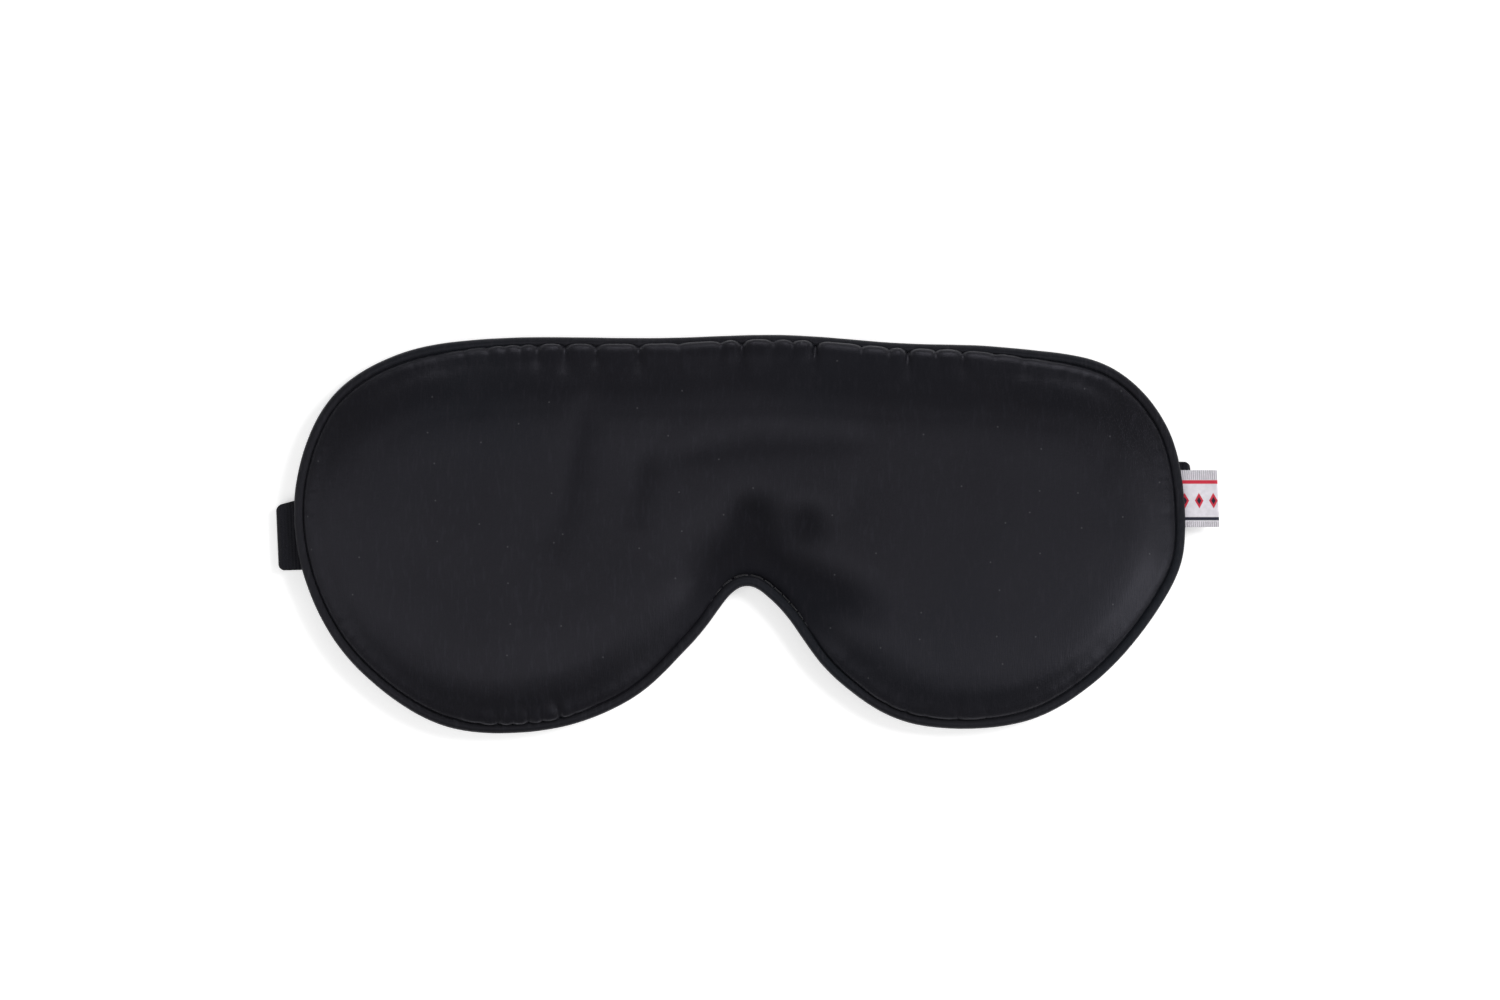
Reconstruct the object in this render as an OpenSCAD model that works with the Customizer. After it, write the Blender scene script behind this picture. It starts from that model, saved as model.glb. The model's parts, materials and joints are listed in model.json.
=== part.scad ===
// Padded satin sleep mask, lying face up on its elastic strap.
// +X runs to the label side, +Y to the brow, +Z up through the front panel.
// The origin is under the middle of the whole mask, on the surface that it lies on.

/* [Outline] */
// Width of the mask over its piped edge
mask_w = 212; // [180:1:240]
// Height of the brow edge above the level of the straps
brow_h = 39.5; // [34:0.5:46]
// Depth of the two eye lobes below the level of the straps
lobe_h = 55; // [48:0.5:62]
// Depth of the top of the nose notch below the level of the straps
notch_h = 20.8; // [17:0.2:24]

/* [Padding] */
// Height of the middle of the edge seam above the surface
seam_z = 5.4; // [5.2:0.1:6.5]
// Height of the padded crown above the edge seam
crown_h = 5.6; // [4:0.1:8]
// Share of the crown that is lost over the bridge of the nose
bridge_dip = 0.3; // [0:0.05:0.5]
// Thickness of a satin panel
satin_t = 0.35; // [0.3:0.01:0.4]
// Thickness of the blackout lining
lining_t = 0.45; // [0.3:0.05:0.6]
// Gap between one layer of the mask and the next
layer_gap = 0.08; // [0.05:0.01:0.1]

/* [Piping] */
// Diameter of the piped roll round the edge
piping_d = 2.6; // [2.2:0.1:2.8]
// Diameter of the cord inside the piping
cord_d = 1.6; // [1:0.1:1.7]
// Width of the flat part of the piping that is caught in the seam
flange_w = 2.6; // [2:0.1:3]
// Thickness of that flat part
flange_t = 0.56; // [0.4:0.02:0.7]
// Thickness of the sewing thread
thread_d = 0.3; // [0.25:0.01:0.4]

/* [Straps] */
// Width of the elastic strap
strap_w = 16.8; // [12:0.2:18]
// Thickness of the elastic
strap_t = 0.75; // [0.6:0.05:0.8]
// Turn of the strap from the X axis, in degrees
strap_turn = 2.5; // [0:0.1:4]
// Height of the strap's middle below the level of the straps, at the nose
strap_drop = 3.6; // [0:0.1:6]
// How far the folded strap stands out of the left edge
fold_out_left = 4.8; // [3:0.1:8]
// How far the folded strap stands out of the right edge
fold_out_right = 1.6; // [1:0.1:3]
// Height of the middle of the sewn strap layer above the surface
sewn_z = 3.15; // [3.1:0.01:3.2]
// Length of each strap end that is caught in the seam
sewn_in = 5.2; // [4:0.1:5.4]

/* [Slider and ring] */
// Thickness of the bars of the slider and of the ring
bar_t = 0.9; // [0.8:0.05:1]
// Width of the outer bars of the slider, along the strap
bar_w = 2; // [1.6:0.1:2.4]
// Length of the slider along the strap
slider_len = 13; // [12:0.5:15]
// Distance of the slider from the nose, towards the left
slider_x = 27; // [20:1:34]
// Length of the ring along the strap
ring_len = 9.4; // [9:0.2:11]
// Length of the tab, from the right edge to the middle of the ring
tab_len = 48; // [44:1:54]
// Width of the side arms of the slider
arm_w = 1.7; // [1.4:0.1:2]
// Radius of the corners of the slider
corner_r = 1.6; // [1:0.1:2]
// Clearance between each edge of the strap and the side arms
side_gap = 0.5; // [0.3:0.1:0.6]
// Clearance between the strap layers and the bars that they slide past
slide_gap = 0.1; // [0.08:0.01:0.12]
// Clearance between a bar and the strap wrapped round it
wrap_gap = 0.05; // [0.04:0.01:0.08]

/* [Label] */
// Width of the woven side label
label_w = 13.6; // [10:0.2:15]
// Thickness of one layer of the label
label_t = 0.2; // [0.15:0.01:0.2]
// How far the label stands out of the right edge
label_out = 7.8; // [6:0.1:12]
// Distance of the label's middle below the middle of the strap
label_drop = 0.6; // [0:0.1:2]

/* [Hidden] */
$fn = 32;

satin = [0.13, 0.13, 0.15];
satin_dark = [0.10, 0.10, 0.12];
elastic = [0.09, 0.09, 0.11];
plastic = [0.05, 0.05, 0.06];
thread = [0.16, 0.16, 0.18];
label_white = [0.9, 0.9, 0.92];

// ---- the outline, as a smooth closed curve ----

half_w = mask_w / 2;
lobe_mid = lobe_h / 2;
// Each point is a share of half_w, and a height above the strap level. They run anticlockwise from the right.
brow_points = [[0.963, 0.413], [0.829, 0.806], [0.604, 0.921], [0.358, 0.949], [0.094, 0.998],
               [-0.189, 0.98], [-0.55, 0.978], [-0.774, 0.878], [-0.929, 0.592], [-1.001, 0.076]];
left_points = [[-0.98, 0.339], [-0.874, 0.702], [-0.675, 0.971], [-0.443, 0.995], [-0.247, 0.86],
               [-0.104, 0.605]];
right_points = [[0.084, 0.46], [0.208, 0.763], [0.382, 0.965], [0.628, 0.962], [0.812, 0.758],
                [0.956, 0.412], [0.998, 0.13]];
control = concat([for (p = brow_points) [p[0] * half_w, p[1] * brow_h]],
                 [for (p = left_points) [p[0] * half_w, -p[1] * lobe_h]],
                 [[-0.003 * half_w, -notch_h]],
                 [for (p = right_points) [p[0] * half_w, -p[1] * lobe_h]]);
steps = 4;

function wrapped(list, i) = list[(i + len(list)) % len(list)];
function spline(a, b, c, d, t) =
    0.5 * (2 * b + (c - a) * t + (2 * a - 5 * b + 4 * c - d) * t * t + (3 * b - a - 3 * c + d) * t * t * t);
outline = [for (i = [0 : len(control) - 1], j = [0 : steps - 1])
    spline(wrapped(control, i - 1), control[i], wrapped(control, i + 1), wrapped(control, i + 2), j / steps)];
stations = len(outline);

function unit(v) = v / norm(v);
// Direction into the mask at station i, square to the edge
function inward(i) =
    let (along = unit(wrapped(outline, i + 1) - wrapped(outline, i - 1))) [-along[1], along[0]];
function inset(u) = [for (i = [0 : stations - 1]) outline[i] + u * inward(i)];

edge_left = min([for (p = outline) p[0]]);
edge_right = max([for (p = outline) p[0]]);
edge_low = min([for (p = outline) p[1]]);
edge_high = max([for (p = outline) p[1]]);

// ---- closed skins and sweeps ----

// Faces between ring a and ring b of n points each, seen from outside with b after a
function band_faces(a, b, n) = [for (i = [0 : n - 1], k = [0, 1])
    k == 0 ? [a + i, b + i, a + (i + 1) % n] : [a + (i + 1) % n, b + i, b + (i + 1) % n]];
function turned(faces) = [for (f = faces) [f[2], f[1], f[0]]];

// A profile of [distance in from the edge, height] points, swept once round the outline
module edge_sweep(profile) {
    m = len(profile);
    points = [for (i = [0 : stations - 1], q = profile)
        let (p = outline[i] + q[0] * inward(i)) [p[0], p[1], q[1]]];
    polyhedron(points, [for (i = [0 : stations - 1], j = [0 : m - 1], k = [0, 1])
        let (a = i * m, b = ((i + 1) % stations) * m, jn = (j + 1) % m)
        k == 0 ? [a + j, b + j, a + jn] : [a + jn, b + j, b + jn]]);
}

function circle_points(x, z, r, n) = [for (k = [0 : n - 1]) [x + r * cos(360 * k / n), z + r * sin(360 * k / n)]];

// A closed body between two sheets of rings. Each ring lists its points in the order of the outline.
module skin(top_rings, top_middle, bottom_rings, bottom_middle) {
    n = stations;
    a = len(top_rings);
    b = len(bottom_rings);
    points = concat([for (ring = top_rings, p = ring) p], [top_middle],
                    [for (ring = bottom_rings, p = ring) p], [bottom_middle]);
    low = a * n + 1;
    middle_top = a * n;
    middle_low = low + b * n;
    polyhedron(points, concat(
        [for (r = [0 : a - 2]) each band_faces(r * n, (r + 1) * n, n)],
        [for (i = [0 : n - 1]) [(a - 1) * n + i, middle_top, (a - 1) * n + (i + 1) % n]],
        [for (r = [0 : b - 2]) each turned(band_faces(low + r * n, low + (r + 1) * n, n))],
        [for (i = [0 : n - 1]) [low + (b - 1) * n + (i + 1) % n, middle_low, low + (b - 1) * n + i]],
        band_faces(low, 0, n)));
}

// ---- the shape of the padded body ----

star = [0, brow_h * 0.15];  // the point that all rings close on
rim_gap = 0.4;              // between the roll and the edge of each panel
rim = piping_d + rim_gap;   // where the panels start, in from the edge
puff_w = 2.5;               // width of each of the two rings over which a panel curves up from the seam
ring_insets = [rim, rim + puff_w, rim + 2 * puff_w];
ring_shares = [0.88, 0.72, 0.5, 0.27];
crown_profile = [0.04, 0.5, 0.76, 0.9, 0.98, 1, 1, 1];
belly_profile = [1, 0.44, 0.1, 0, 0, 0, 0, 0];

function smooth(t) = let (c = max(0, min(1, t))) c * c * (3 - 2 * c);
ring_count = len(ring_insets) + len(ring_shares);
innermost = inset(ring_insets[len(ring_insets) - 1]);
function ring_xy(k) = k < len(ring_insets)
    ? inset(ring_insets[k])
    : let (s = ring_shares[k - len(ring_insets)]) [for (p = innermost) star + s * (p - star)];

// Height of the strap's middle line at x, and how far a point lies from it
strap_slope = tan(strap_turn);
function from_strap(p) = abs((p[1] + strap_drop - p[0] * strap_slope) * cos(strap_turn));

strap_top = sewn_z + strap_t / 2;
bar_high = bar_t + 2 * slide_gap + 2 * strap_t + wrap_gap;   // underside of the slider's middle bar
wrap_high = bar_high + bar_t + wrap_gap + strap_t;           // top of the strap wrapped round it
clear = 0.3;                                                 // from the slider's loop to the back panel
channel_z = wrap_high + clear;
slider_half = strap_w / 2 + side_gap + arm_w;
channel_side = 5;                                            // from the slider's side to the channel's edge
channel_half = slider_half + channel_side;
channel_slope = 8;                                           // width over which the channel's side rises
dip_side = 4;                                                // from the strap's edge to the edge of the dip
dip_slope = 6;                                               // width over which the dip's side rises
bridge_w = 20;                                               // how far the dip over the nose spreads

// Height of the front panel's top, at a point of ring k
function crown(p, k) = seam_z + flange_t / 2 + layer_gap + satin_t
    + crown_profile[k] * crown_h * (1 - bridge_dip * exp(-pow(p[0] / bridge_w, 2)));
// Underside of the back panel: a belly, a channel over the strap, and a dip under each sewn strap end
belly_z = seam_z - flange_t / 2 - layer_gap - satin_t;
dip_z = sewn_z - strap_t / 2 - layer_gap - satin_t;
function beside(p, flat, slope) = 1 - smooth((from_strap(p) - flat) / slope);
function near_end(p) = smooth((abs(p[0]) - half_w * 0.8) / (half_w * 0.08))
    * beside(p, strap_w / 2 + dip_side, dip_slope);
function belly(p, k) =
    let (open = max(belly_z * belly_profile[k], channel_z * beside(p, channel_half, channel_slope)),
         end = k < 2 ? near_end(p) : 0)
    open * (1 - end) + dip_z * end;

function crown_rings(drop) = [for (k = [0 : ring_count - 1])
    [for (p = ring_xy(k)) [p[0], p[1], crown(p, k) - drop]]];
function belly_rings(raise) = [for (k = [0 : ring_count - 1])
    [for (p = ring_xy(k)) [p[0], p[1], belly(p, k) + raise]]];
function inner_rings(rings, from) = [for (k = [from : len(rings) - 1]) rings[k]];
function middle(z) = [star[0], star[1], z];

// ---- the mask itself ----

module front_panel() {
    color(satin)
        skin(crown_rings(0), middle(crown(star, ring_count)),
             crown_rings(satin_t), middle(crown(star, ring_count) - satin_t));
}

module blackout_lining() {
    drop = satin_t + layer_gap;
    color(satin_dark)
        skin(inner_rings(crown_rings(drop), 1), middle(crown(star, ring_count) - drop),
             inner_rings(crown_rings(drop + lining_t), 1), middle(crown(star, ring_count) - drop - lining_t));
}

module filling() {
    drop = satin_t + lining_t + 2 * layer_gap;
    raise = satin_t + layer_gap;
    color([0.85, 0.85, 0.83])
        skin(inner_rings(crown_rings(drop), 2), middle(crown(star, ring_count) - drop),
             inner_rings(belly_rings(raise), 2), middle(belly(star, ring_count) + raise));
}

module back_panel() {
    color(satin)
        skin(belly_rings(satin_t), middle(belly(star, ring_count) + satin_t),
             belly_rings(0), middle(belly(star, ring_count)));
}

module piping_cover() {
    r = piping_d / 2;
    flange_in = r + sqrt(r * r - flange_t * flange_t / 4);
    roll = [for (k = [0 : 8]) let (a = 30 + k * 37.5) [r + r * cos(a), seam_z + r * sin(a)]];
    flange = [[flange_in, seam_z - flange_t / 2], [piping_d + flange_w, seam_z - flange_t / 2],
              [piping_d + flange_w, seam_z + flange_t / 2], [flange_in, seam_z + flange_t / 2]];
    color(satin)
        difference() {
            edge_sweep(concat(roll, flange));
            edge_sweep(circle_points(r, seam_z, cord_d / 2 + layer_gap / 2, 6));
        }
}

module piping_cord() {
    color("dimgray") edge_sweep(circle_points(piping_d / 2, seam_z, cord_d / 2 - layer_gap / 2, 6));
}

module seam_thread() {
    z = seam_z + flange_t / 2 + thread_d / 2 + layer_gap / 4;
    color(thread) edge_sweep(circle_points(rim - thread_d, z, thread_d / 2, 4));
}

// ---- the elastic, in a frame along the strap ----

main_z = bar_t + slide_gap + strap_t / 2;       // middle of the outer strap layer
return_z = main_z + strap_t + slide_gap;        // middle of the layer next to the mask
ring_z = (main_z + return_z) / 2;
wrap_r = (bar_t + strap_t) / 2 + wrap_gap;      // from a bar's middle to the middle of its wrap
fold_r = (sewn_z - main_z) / 2;

s_left = -half_w / cos(strap_turn);             // the left and right edges, along the strap
s_right = half_w / cos(strap_turn);
s_fold_left = s_left - fold_out_left + strap_t / 2 + fold_r;
s_fold_right = s_right + fold_out_right - strap_t / 2 - fold_r;
s_slider = -slider_x;
s_ring = s_right - tab_len;
stretch_left = 32;                              // length of the left span that stretches
s_band = s_left + sewn_in + stretch_left;
bar_pitch = (ring_len - bar_t) / 2;             // from the ring's middle to the middle of each end bar
open_len = 9;                                   // length over which the layers part round a bar
lap_from = 6;                                   // from the slider's middle to its sewn lap
lap_len = 5;                                    // length of each sewn lap
lap_free = 1;                                   // from a lap or a loop to the part that stretches
s_tab = s_ring + bar_pitch + open_len + lap_len + lap_free;

module strap_frame() {
    translate([0, -strap_drop, 0]) rotate([0, 0, strap_turn]) children();
}

// A strap of thickness t along a path of [along, height] points, as wide as w
function side_of(path, i) =
    let (a = path[max(0, i - 1)], b = path[min(len(path) - 1, i + 1)], d = unit(b - a)) [-d[1], d[0]];
module ribbon(path, t, w) {
    left = [for (i = [0 : len(path) - 1]) path[i] + side_of(path, i) * t / 2];
    right = [for (i = [len(path) - 1 : -1 : 0]) path[i] - side_of(path, i) * t / 2];
    rotate([90, 0, 0]) translate([0, 0, -w / 2]) linear_extrude(w) polygon(concat(left, right));
}
function arc(x, z, r, from, to, n) = [for (k = [0 : n]) let (a = from + (to - from) * k / n)
    [x + r * cos(a), z + r * sin(a)]];
// A gentle S from one height to another
function ramp(x0, z0, x1, z1, n = 6) = [for (k = [0 : n]) [x0 + (x1 - x0) * k / n, z0 + (z1 - z0) * smooth(k / n)]];

// The strap leaves the seam under the piping, folds back, and runs in under the mask.
module strap_end(s_edge, s_fold, toward) {
    path = concat([[s_edge + toward * sewn_in, sewn_z]],
                  arc(s_fold, (sewn_z + main_z) / 2, fold_r, 90, 90 + toward * 180, 8),
                  [[s_edge + toward * sewn_in, main_z]]);
    color(elastic) strap_frame() ribbon(path, strap_t, strap_w);
}
module strap_end_left() { strap_end(s_left, s_fold_left, 1); }
module tab_end_right() { strap_end(s_right, s_fold_right, -1); }

module strap_span_left() {
    color(elastic) strap_frame() ribbon([[s_left + sewn_in, main_z], [s_band, main_z]], strap_t, strap_w);
}
module tab_span() {
    color(elastic) strap_frame() ribbon([[s_tab, main_z], [s_right - sewn_in, main_z]], strap_t, strap_w);
}

s_return = s_ring - bar_pitch - open_len;       // where the two layers lie flat again
module strap_band() {
    bar = s_ring - bar_pitch;
    path = concat([[s_band, main_z]], ramp(s_return, main_z, bar, ring_z - wrap_r),
                  arc(bar, ring_z, wrap_r, -72, 72, 8), ramp(bar, ring_z + wrap_r, s_return, return_z),
                  [[s_return - lap_free, return_z]]);
    color(elastic) strap_frame() ribbon(path, strap_t, strap_w);
}

module tab_loop() {
    bar = s_ring + bar_pitch;
    path = concat([[s_tab, main_z]], ramp(bar + open_len, main_z, bar, ring_z - wrap_r),
                  arc(bar, ring_z, wrap_r, 252, 108, 8), ramp(bar, ring_z + wrap_r, bar + open_len, return_z),
                  [[bar + open_len + lap_len, return_z]]);
    color(elastic) strap_frame() ribbon(path, strap_t, strap_w);
}

s_wrap = s_slider + bar_w;                      // where the return layer meets the slider's loop
module strap_return() {
    color(elastic) strap_frame() ribbon([[s_wrap, return_z], [s_return - lap_free, return_z]], strap_t, strap_w);
}

// The strap's far end wraps the slider's middle bar and is sewn down on itself.
end_z = return_z + strap_t + wrap_gap;
module strap_loop() {
    bar_z = bar_high + bar_t / 2;
    lap = s_slider + lap_from;
    path = concat([[s_wrap, return_z]], arc(s_slider, bar_z, wrap_r, 270, 90, 10),
                  ramp(s_slider + bar_t, bar_z + wrap_r, lap, end_z), [[lap + lap_len, end_z]]);
    color(elastic) strap_frame() ribbon(path, strap_t, strap_w);
}

// ---- the hard parts on the strap ----

module slider() {
    inner = strap_w + 2 * side_gap;
    outer = inner + 2 * arm_w;
    arm_high = bar_high + bar_t;
    color(plastic) strap_frame() translate([s_slider, 0, 0]) {
        difference() {
            linear_extrude(arm_high) hull() for (x = [-1, 1], y = [-1, 1])
                translate([x * (slider_len / 2 - corner_r), y * (outer / 2 - corner_r)]) circle(corner_r);
            translate([-slider_len, -inner / 2, bar_t]) cube([2 * slider_len, inner, arm_high]);
            translate([-slider_len / 2 + bar_w, -inner / 2, -1])
                cube([slider_len - 2 * bar_w, inner, bar_t + 2]);
        }
        translate([0, inner / 2 + side_gap, bar_high + bar_t / 2]) rotate([90, 0, 0])
            cylinder(h = inner + 2 * side_gap, d = bar_t);
    }
}

// A rectangle of round bar. Its ends stay straight over the whole width of the strap.
module ring() {
    half_len = bar_pitch;
    bend_r = side_gap + bar_t / 2;
    half_width = strap_w / 2 + bend_r;
    color(plastic) strap_frame() translate([s_ring, 0, ring_z])
        for (side = [-1, 1]) {
            translate([side * half_len, half_width - bend_r, 0]) rotate([90, 0, 0])
                cylinder(h = 2 * (half_width - bend_r), d = bar_t);
            translate([bend_r - half_len, side * half_width, 0]) rotate([0, 90, 0])
                cylinder(h = 2 * (half_len - bend_r), d = bar_t);
            for (end = [-1, 1])
                translate([end * (half_len - bend_r), side * (half_width - bend_r), 0])
                    rotate([0, 0, side > 0 ? (end > 0 ? 0 : 90) : (end > 0 ? 270 : 180)])
                        rotate_extrude(angle = 90) translate([bend_r, 0]) circle(d = bar_t);
        }
}

// ---- stitches ----

tack_edge = 1.5;            // from the edge of a strap to the nearest stitch
tack_in = 1.2;              // from the edge of a panel to the upright stitches
stitch_t = slide_gap * 0.8; // how far a zigzag stitch stands out of the elastic

// A row of zigzag stitches across the strap, centred at s, with its middle at height z
module zigzag(s, z) {
    count = 12;
    width = strap_w - 2 * tack_edge;
    pitch = width / count;
    slant = 30;
    color(thread) strap_frame() for (k = [0 : count - 1])
        translate([s, -width / 2 + (k + 0.5) * pitch, z])
            rotate([0, 0, k % 2 == 0 ? slant : -slant]) cube([2 * pitch, thread_d, stitch_t], center = true);
}
module slider_tack() { zigzag(s_slider + lap_from + lap_len / 2, end_z + (strap_t + stitch_t) / 2); }
module tab_tack() { zigzag(s_ring + bar_pitch + open_len + lap_len / 2, main_z - (strap_t + stitch_t) / 2); }

// Upright stitches, spread over a width, that hold an end to the seam above it
module seam_tack(s, bottom, width) {
    count = 6;
    pitch = (width - 2 * tack_edge) / (count - 1);
    top = seam_z - flange_t / 2;
    color(thread) for (k = [0 : count - 1])
        translate([s, -width / 2 + tack_edge + k * pitch, bottom]) cylinder(h = top - bottom, d = thread_d);
}
module seam_tack_left() { strap_frame() seam_tack(s_left + rim + tack_in, strap_top, strap_w); }
module seam_tack_right() { label_frame() seam_tack(s_right - rim - tack_in, label_z + label_t, label_w); }

// ---- the woven label, folded in two ----

label_z = strap_top + layer_gap + label_t;      // where the label's two layers meet
s_hinge = s_right + 3 * label_t;                // the line that the label bends on
s_tip = s_right + label_out;
module label_frame() { strap_frame() translate([0, -label_drop, 0]) children(); }

// The bending edge is round, so that the label turns up without reaching into its own sewn end.
module label() {
    color(label_white) label_frame() translate([0, -label_w / 2, label_z]) {
        translate([s_hinge, 0, -label_t]) cube([s_tip - s_hinge, label_w, 2 * label_t]);
        translate([s_hinge, label_w, 0]) rotate([90, 0, 0]) cylinder(h = label_w, r = label_t);
    }
}
module label_seam_end() {
    length = sewn_in + s_hinge - s_right - label_t - layer_gap / 2;
    color(label_white) label_frame()
        translate([s_right - sewn_in, -label_w / 2, label_z - label_t]) cube([length, label_w, 2 * label_t]);
}

// ---- everything, moved so that the origin is under the middle ----

function strap_xy(s, across) = [s * cos(strap_turn) - across * sin(strap_turn),
                                s * sin(strap_turn) + across * cos(strap_turn) - strap_drop];
fold_left_x = strap_xy(s_left - fold_out_left, strap_w / 2)[0];
label_right_x = strap_xy(s_tip, -label_w / 2 - label_drop)[0];
middle_x = (min(fold_left_x, edge_left) + max(label_right_x, edge_right)) / 2;
middle_y = (edge_low + edge_high) / 2;

translate([-middle_x, -middle_y, 0]) {
    front_panel();
    blackout_lining();
    filling();
    back_panel();
    piping_cover();
    piping_cord();
    seam_thread();
    strap_end_left();
    strap_span_left();
    strap_band();
    strap_return();
    strap_loop();
    slider();
    slider_tack();
    ring();
    tab_loop();
    tab_tack();
    tab_span();
    tab_end_right();
    seam_tack_left();
    seam_tack_right();
    label();
    label_seam_end();
}
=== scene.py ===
"""Looks of a padded satin sleep mask, built round its fixed CAD frame.

Lengths inside the builders are millimetres. make_mesh() turns them into metres, the frame's own unit.
"""
import json
import math

import bmesh
import bpy
import numpy as np
from bpy.props import FloatProperty, FloatVectorProperty, PointerProperty
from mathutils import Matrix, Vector, geometry
from mathutils.bvhtree import BVHTree


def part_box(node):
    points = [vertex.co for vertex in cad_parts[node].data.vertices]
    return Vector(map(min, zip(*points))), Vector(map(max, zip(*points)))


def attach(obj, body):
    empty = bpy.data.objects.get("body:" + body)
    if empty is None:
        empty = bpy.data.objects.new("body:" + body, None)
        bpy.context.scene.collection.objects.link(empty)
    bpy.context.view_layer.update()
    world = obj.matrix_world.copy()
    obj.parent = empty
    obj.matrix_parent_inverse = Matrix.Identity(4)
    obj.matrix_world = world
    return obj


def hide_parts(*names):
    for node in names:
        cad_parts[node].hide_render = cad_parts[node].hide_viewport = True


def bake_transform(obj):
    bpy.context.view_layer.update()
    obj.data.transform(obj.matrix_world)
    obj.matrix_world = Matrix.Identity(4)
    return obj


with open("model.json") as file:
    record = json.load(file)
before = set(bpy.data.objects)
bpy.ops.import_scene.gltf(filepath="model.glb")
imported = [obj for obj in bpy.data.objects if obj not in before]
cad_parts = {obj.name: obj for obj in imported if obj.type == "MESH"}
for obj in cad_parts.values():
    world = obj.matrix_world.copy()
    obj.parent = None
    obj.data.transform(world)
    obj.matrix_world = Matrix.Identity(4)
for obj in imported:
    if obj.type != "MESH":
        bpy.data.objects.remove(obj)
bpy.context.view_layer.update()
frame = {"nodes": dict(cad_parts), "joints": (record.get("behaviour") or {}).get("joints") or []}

bl_info = {
    "name": "Padded sleep mask",
    "version": (1, 0, 0),
    "blender": (4, 5, 0),
    "location": "View3D > Sidebar > Sleep mask",
    "description": "Dresses the frame of a padded satin sleep mask: panels, piping, straps, ring and label",
    "category": "Add Mesh",
}

MM = 0.001


# ---- small helpers ----

def unit(rows):
    """Rows of vectors, each made one long."""
    return rows / np.linalg.norm(rows, axis=1)[:, None]


def heading(angle):
    """The flat direction at an angle in radians."""
    return np.array([math.cos(angle), math.sin(angle)])


def full_turn(count):
    """Angles round a full turn, in radians."""
    return np.linspace(0, 2 * math.pi, count, endpoint=False)


def run_length(path):
    """How far along a path each of its points lies."""
    return np.concatenate([[0], np.cumsum(np.linalg.norm(np.diff(path, axis=0), axis=1))])


def ease(t):
    """0 below 0, 1 above 1, and a smooth step between."""
    t = np.clip(t, 0, 1)
    return t * t * (3 - 2 * t)


# ---- what the frame gives ----

def node_points(node):
    """A CAD node's vertices at rest, in millimetres."""
    return np.array([v.co for v in frame["nodes"][node].data.vertices], float) / MM


def joint(name):
    """The frame's record of a joint."""
    return next(j for j in frame["joints"] if j["name"] == name)


ALONG = np.array(joint("slider_adjust")["axis"][:2], float)
ALONG /= np.linalg.norm(ALONG)
ACROSS = np.array([-ALONG[1], ALONG[0]])


def strap_box(node):
    """Lowest and highest (along, across, up) of a node, in the strap's own directions."""
    points = node_points(node)
    local = np.column_stack([points[:, :2] @ ALONG, points[:, :2] @ ACROSS, points[:, 2]])
    return local.min(0), local.max(0)


def strap_to_frame(along, across, up):
    """Strap directions to frame coordinates, all in millimetres."""
    along, across, up = np.broadcast_arrays(along, across, up)
    flat = np.multiply.outer(along, ALONG) + np.multiply.outer(across, ACROSS)
    return np.concatenate([flat, up[..., None]], axis=-1)


def cad_surface(*nodes):
    """The triangles of CAD nodes, for finding where a line meets them."""
    points, faces = [], []
    for node in nodes:
        mesh = frame["nodes"][node].data
        first = len(points)
        points += [tuple(np.array(v.co) / MM) for v in mesh.vertices]
        faces += [[first + i for i in p.vertices] for p in mesh.polygons]
    return BVHTree.FromPolygons(points, faces)


def unique_points(points, grain=1e-3):
    """The points without repeats, rounded to the grain."""
    return np.unique(np.round(points / grain).astype(int), axis=0) * grain


PIPING_LOW, PIPING_HIGH = (np.array(c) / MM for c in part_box("piping_cover"))
ROLL_D = PIPING_HIGH[2] - PIPING_LOW[2]
SEAM_Z = (PIPING_LOW[2] + PIPING_HIGH[2]) / 2
MIDDLE = np.array([(PIPING_LOW[0] + PIPING_HIGH[0]) / 2, 0.0])
# A point from which the whole edge can be seen, a little towards the brow from the level of the straps
EYE = np.array([MIDDLE[0], strap_box("strap_return")[0][1] + 0.5 * ROLL_D
                + 0.2 * (PIPING_HIGH[1] - PIPING_LOW[1])])


def smooth_loop(points, step):
    """A closed Catmull-Rom curve through the points, as points about step apart."""
    a, b, c, d = (np.roll(points, k, axis=0) for k in (1, 0, -1, -2))
    t = np.linspace(0, 1, 24, endpoint=False)[:, None, None]
    curve = 0.5 * (2 * b + (c - a) * t + (2 * a - 5 * b + 4 * c - d) * t**2 + (3 * b - a - 3 * c + d) * t**3)
    curve = curve.transpose(1, 0, 2).reshape(-1, 2)
    closed = np.vstack([curve, curve[:1]])
    length = run_length(closed)
    count = int(round(length[-1] / step))
    at = np.linspace(0, length[-1], count, endpoint=False)
    return np.column_stack([np.interp(at, length, closed[:, k]) for k in range(2)])


# How near to the seam's level, and to the outermost surface, a corner of the outer edge has to lie
LEVEL_GRAIN = 0.02
OUTER_GRAIN = 0.25


def edge_stations():
    """The corners of the piping's outer edge, anticlockwise."""
    points = unique_points(node_points("piping_cover"))
    level = points[np.abs(points[:, 2] - SEAM_Z) < LEVEL_GRAIN][:, :2]
    surface = cad_surface("piping_cover")
    reach = np.linalg.norm(PIPING_HIGH - PIPING_LOW)
    kept = []
    for p in level:
        angle = math.atan2(*(p - EYE)[::-1])
        radii = []
        for nudge in (-0.001, 0.001):
            way = heading(angle + nudge)
            start = Vector((*(EYE + way * reach), SEAM_Z))
            hit = surface.ray_cast(start, Vector((*-way, 0)))[0]
            if hit:
                radii.append(np.linalg.norm(np.array(hit)[:2] - EYE))
        if radii and np.linalg.norm(p - EYE) > max(radii) - OUTER_GRAIN:
            kept.append((angle, *p))
    kept = np.array(sorted(kept))[:, 1:]
    if len(kept) < 40:
        raise RuntimeError("the piping's outer edge wasn't found")
    return kept


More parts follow.
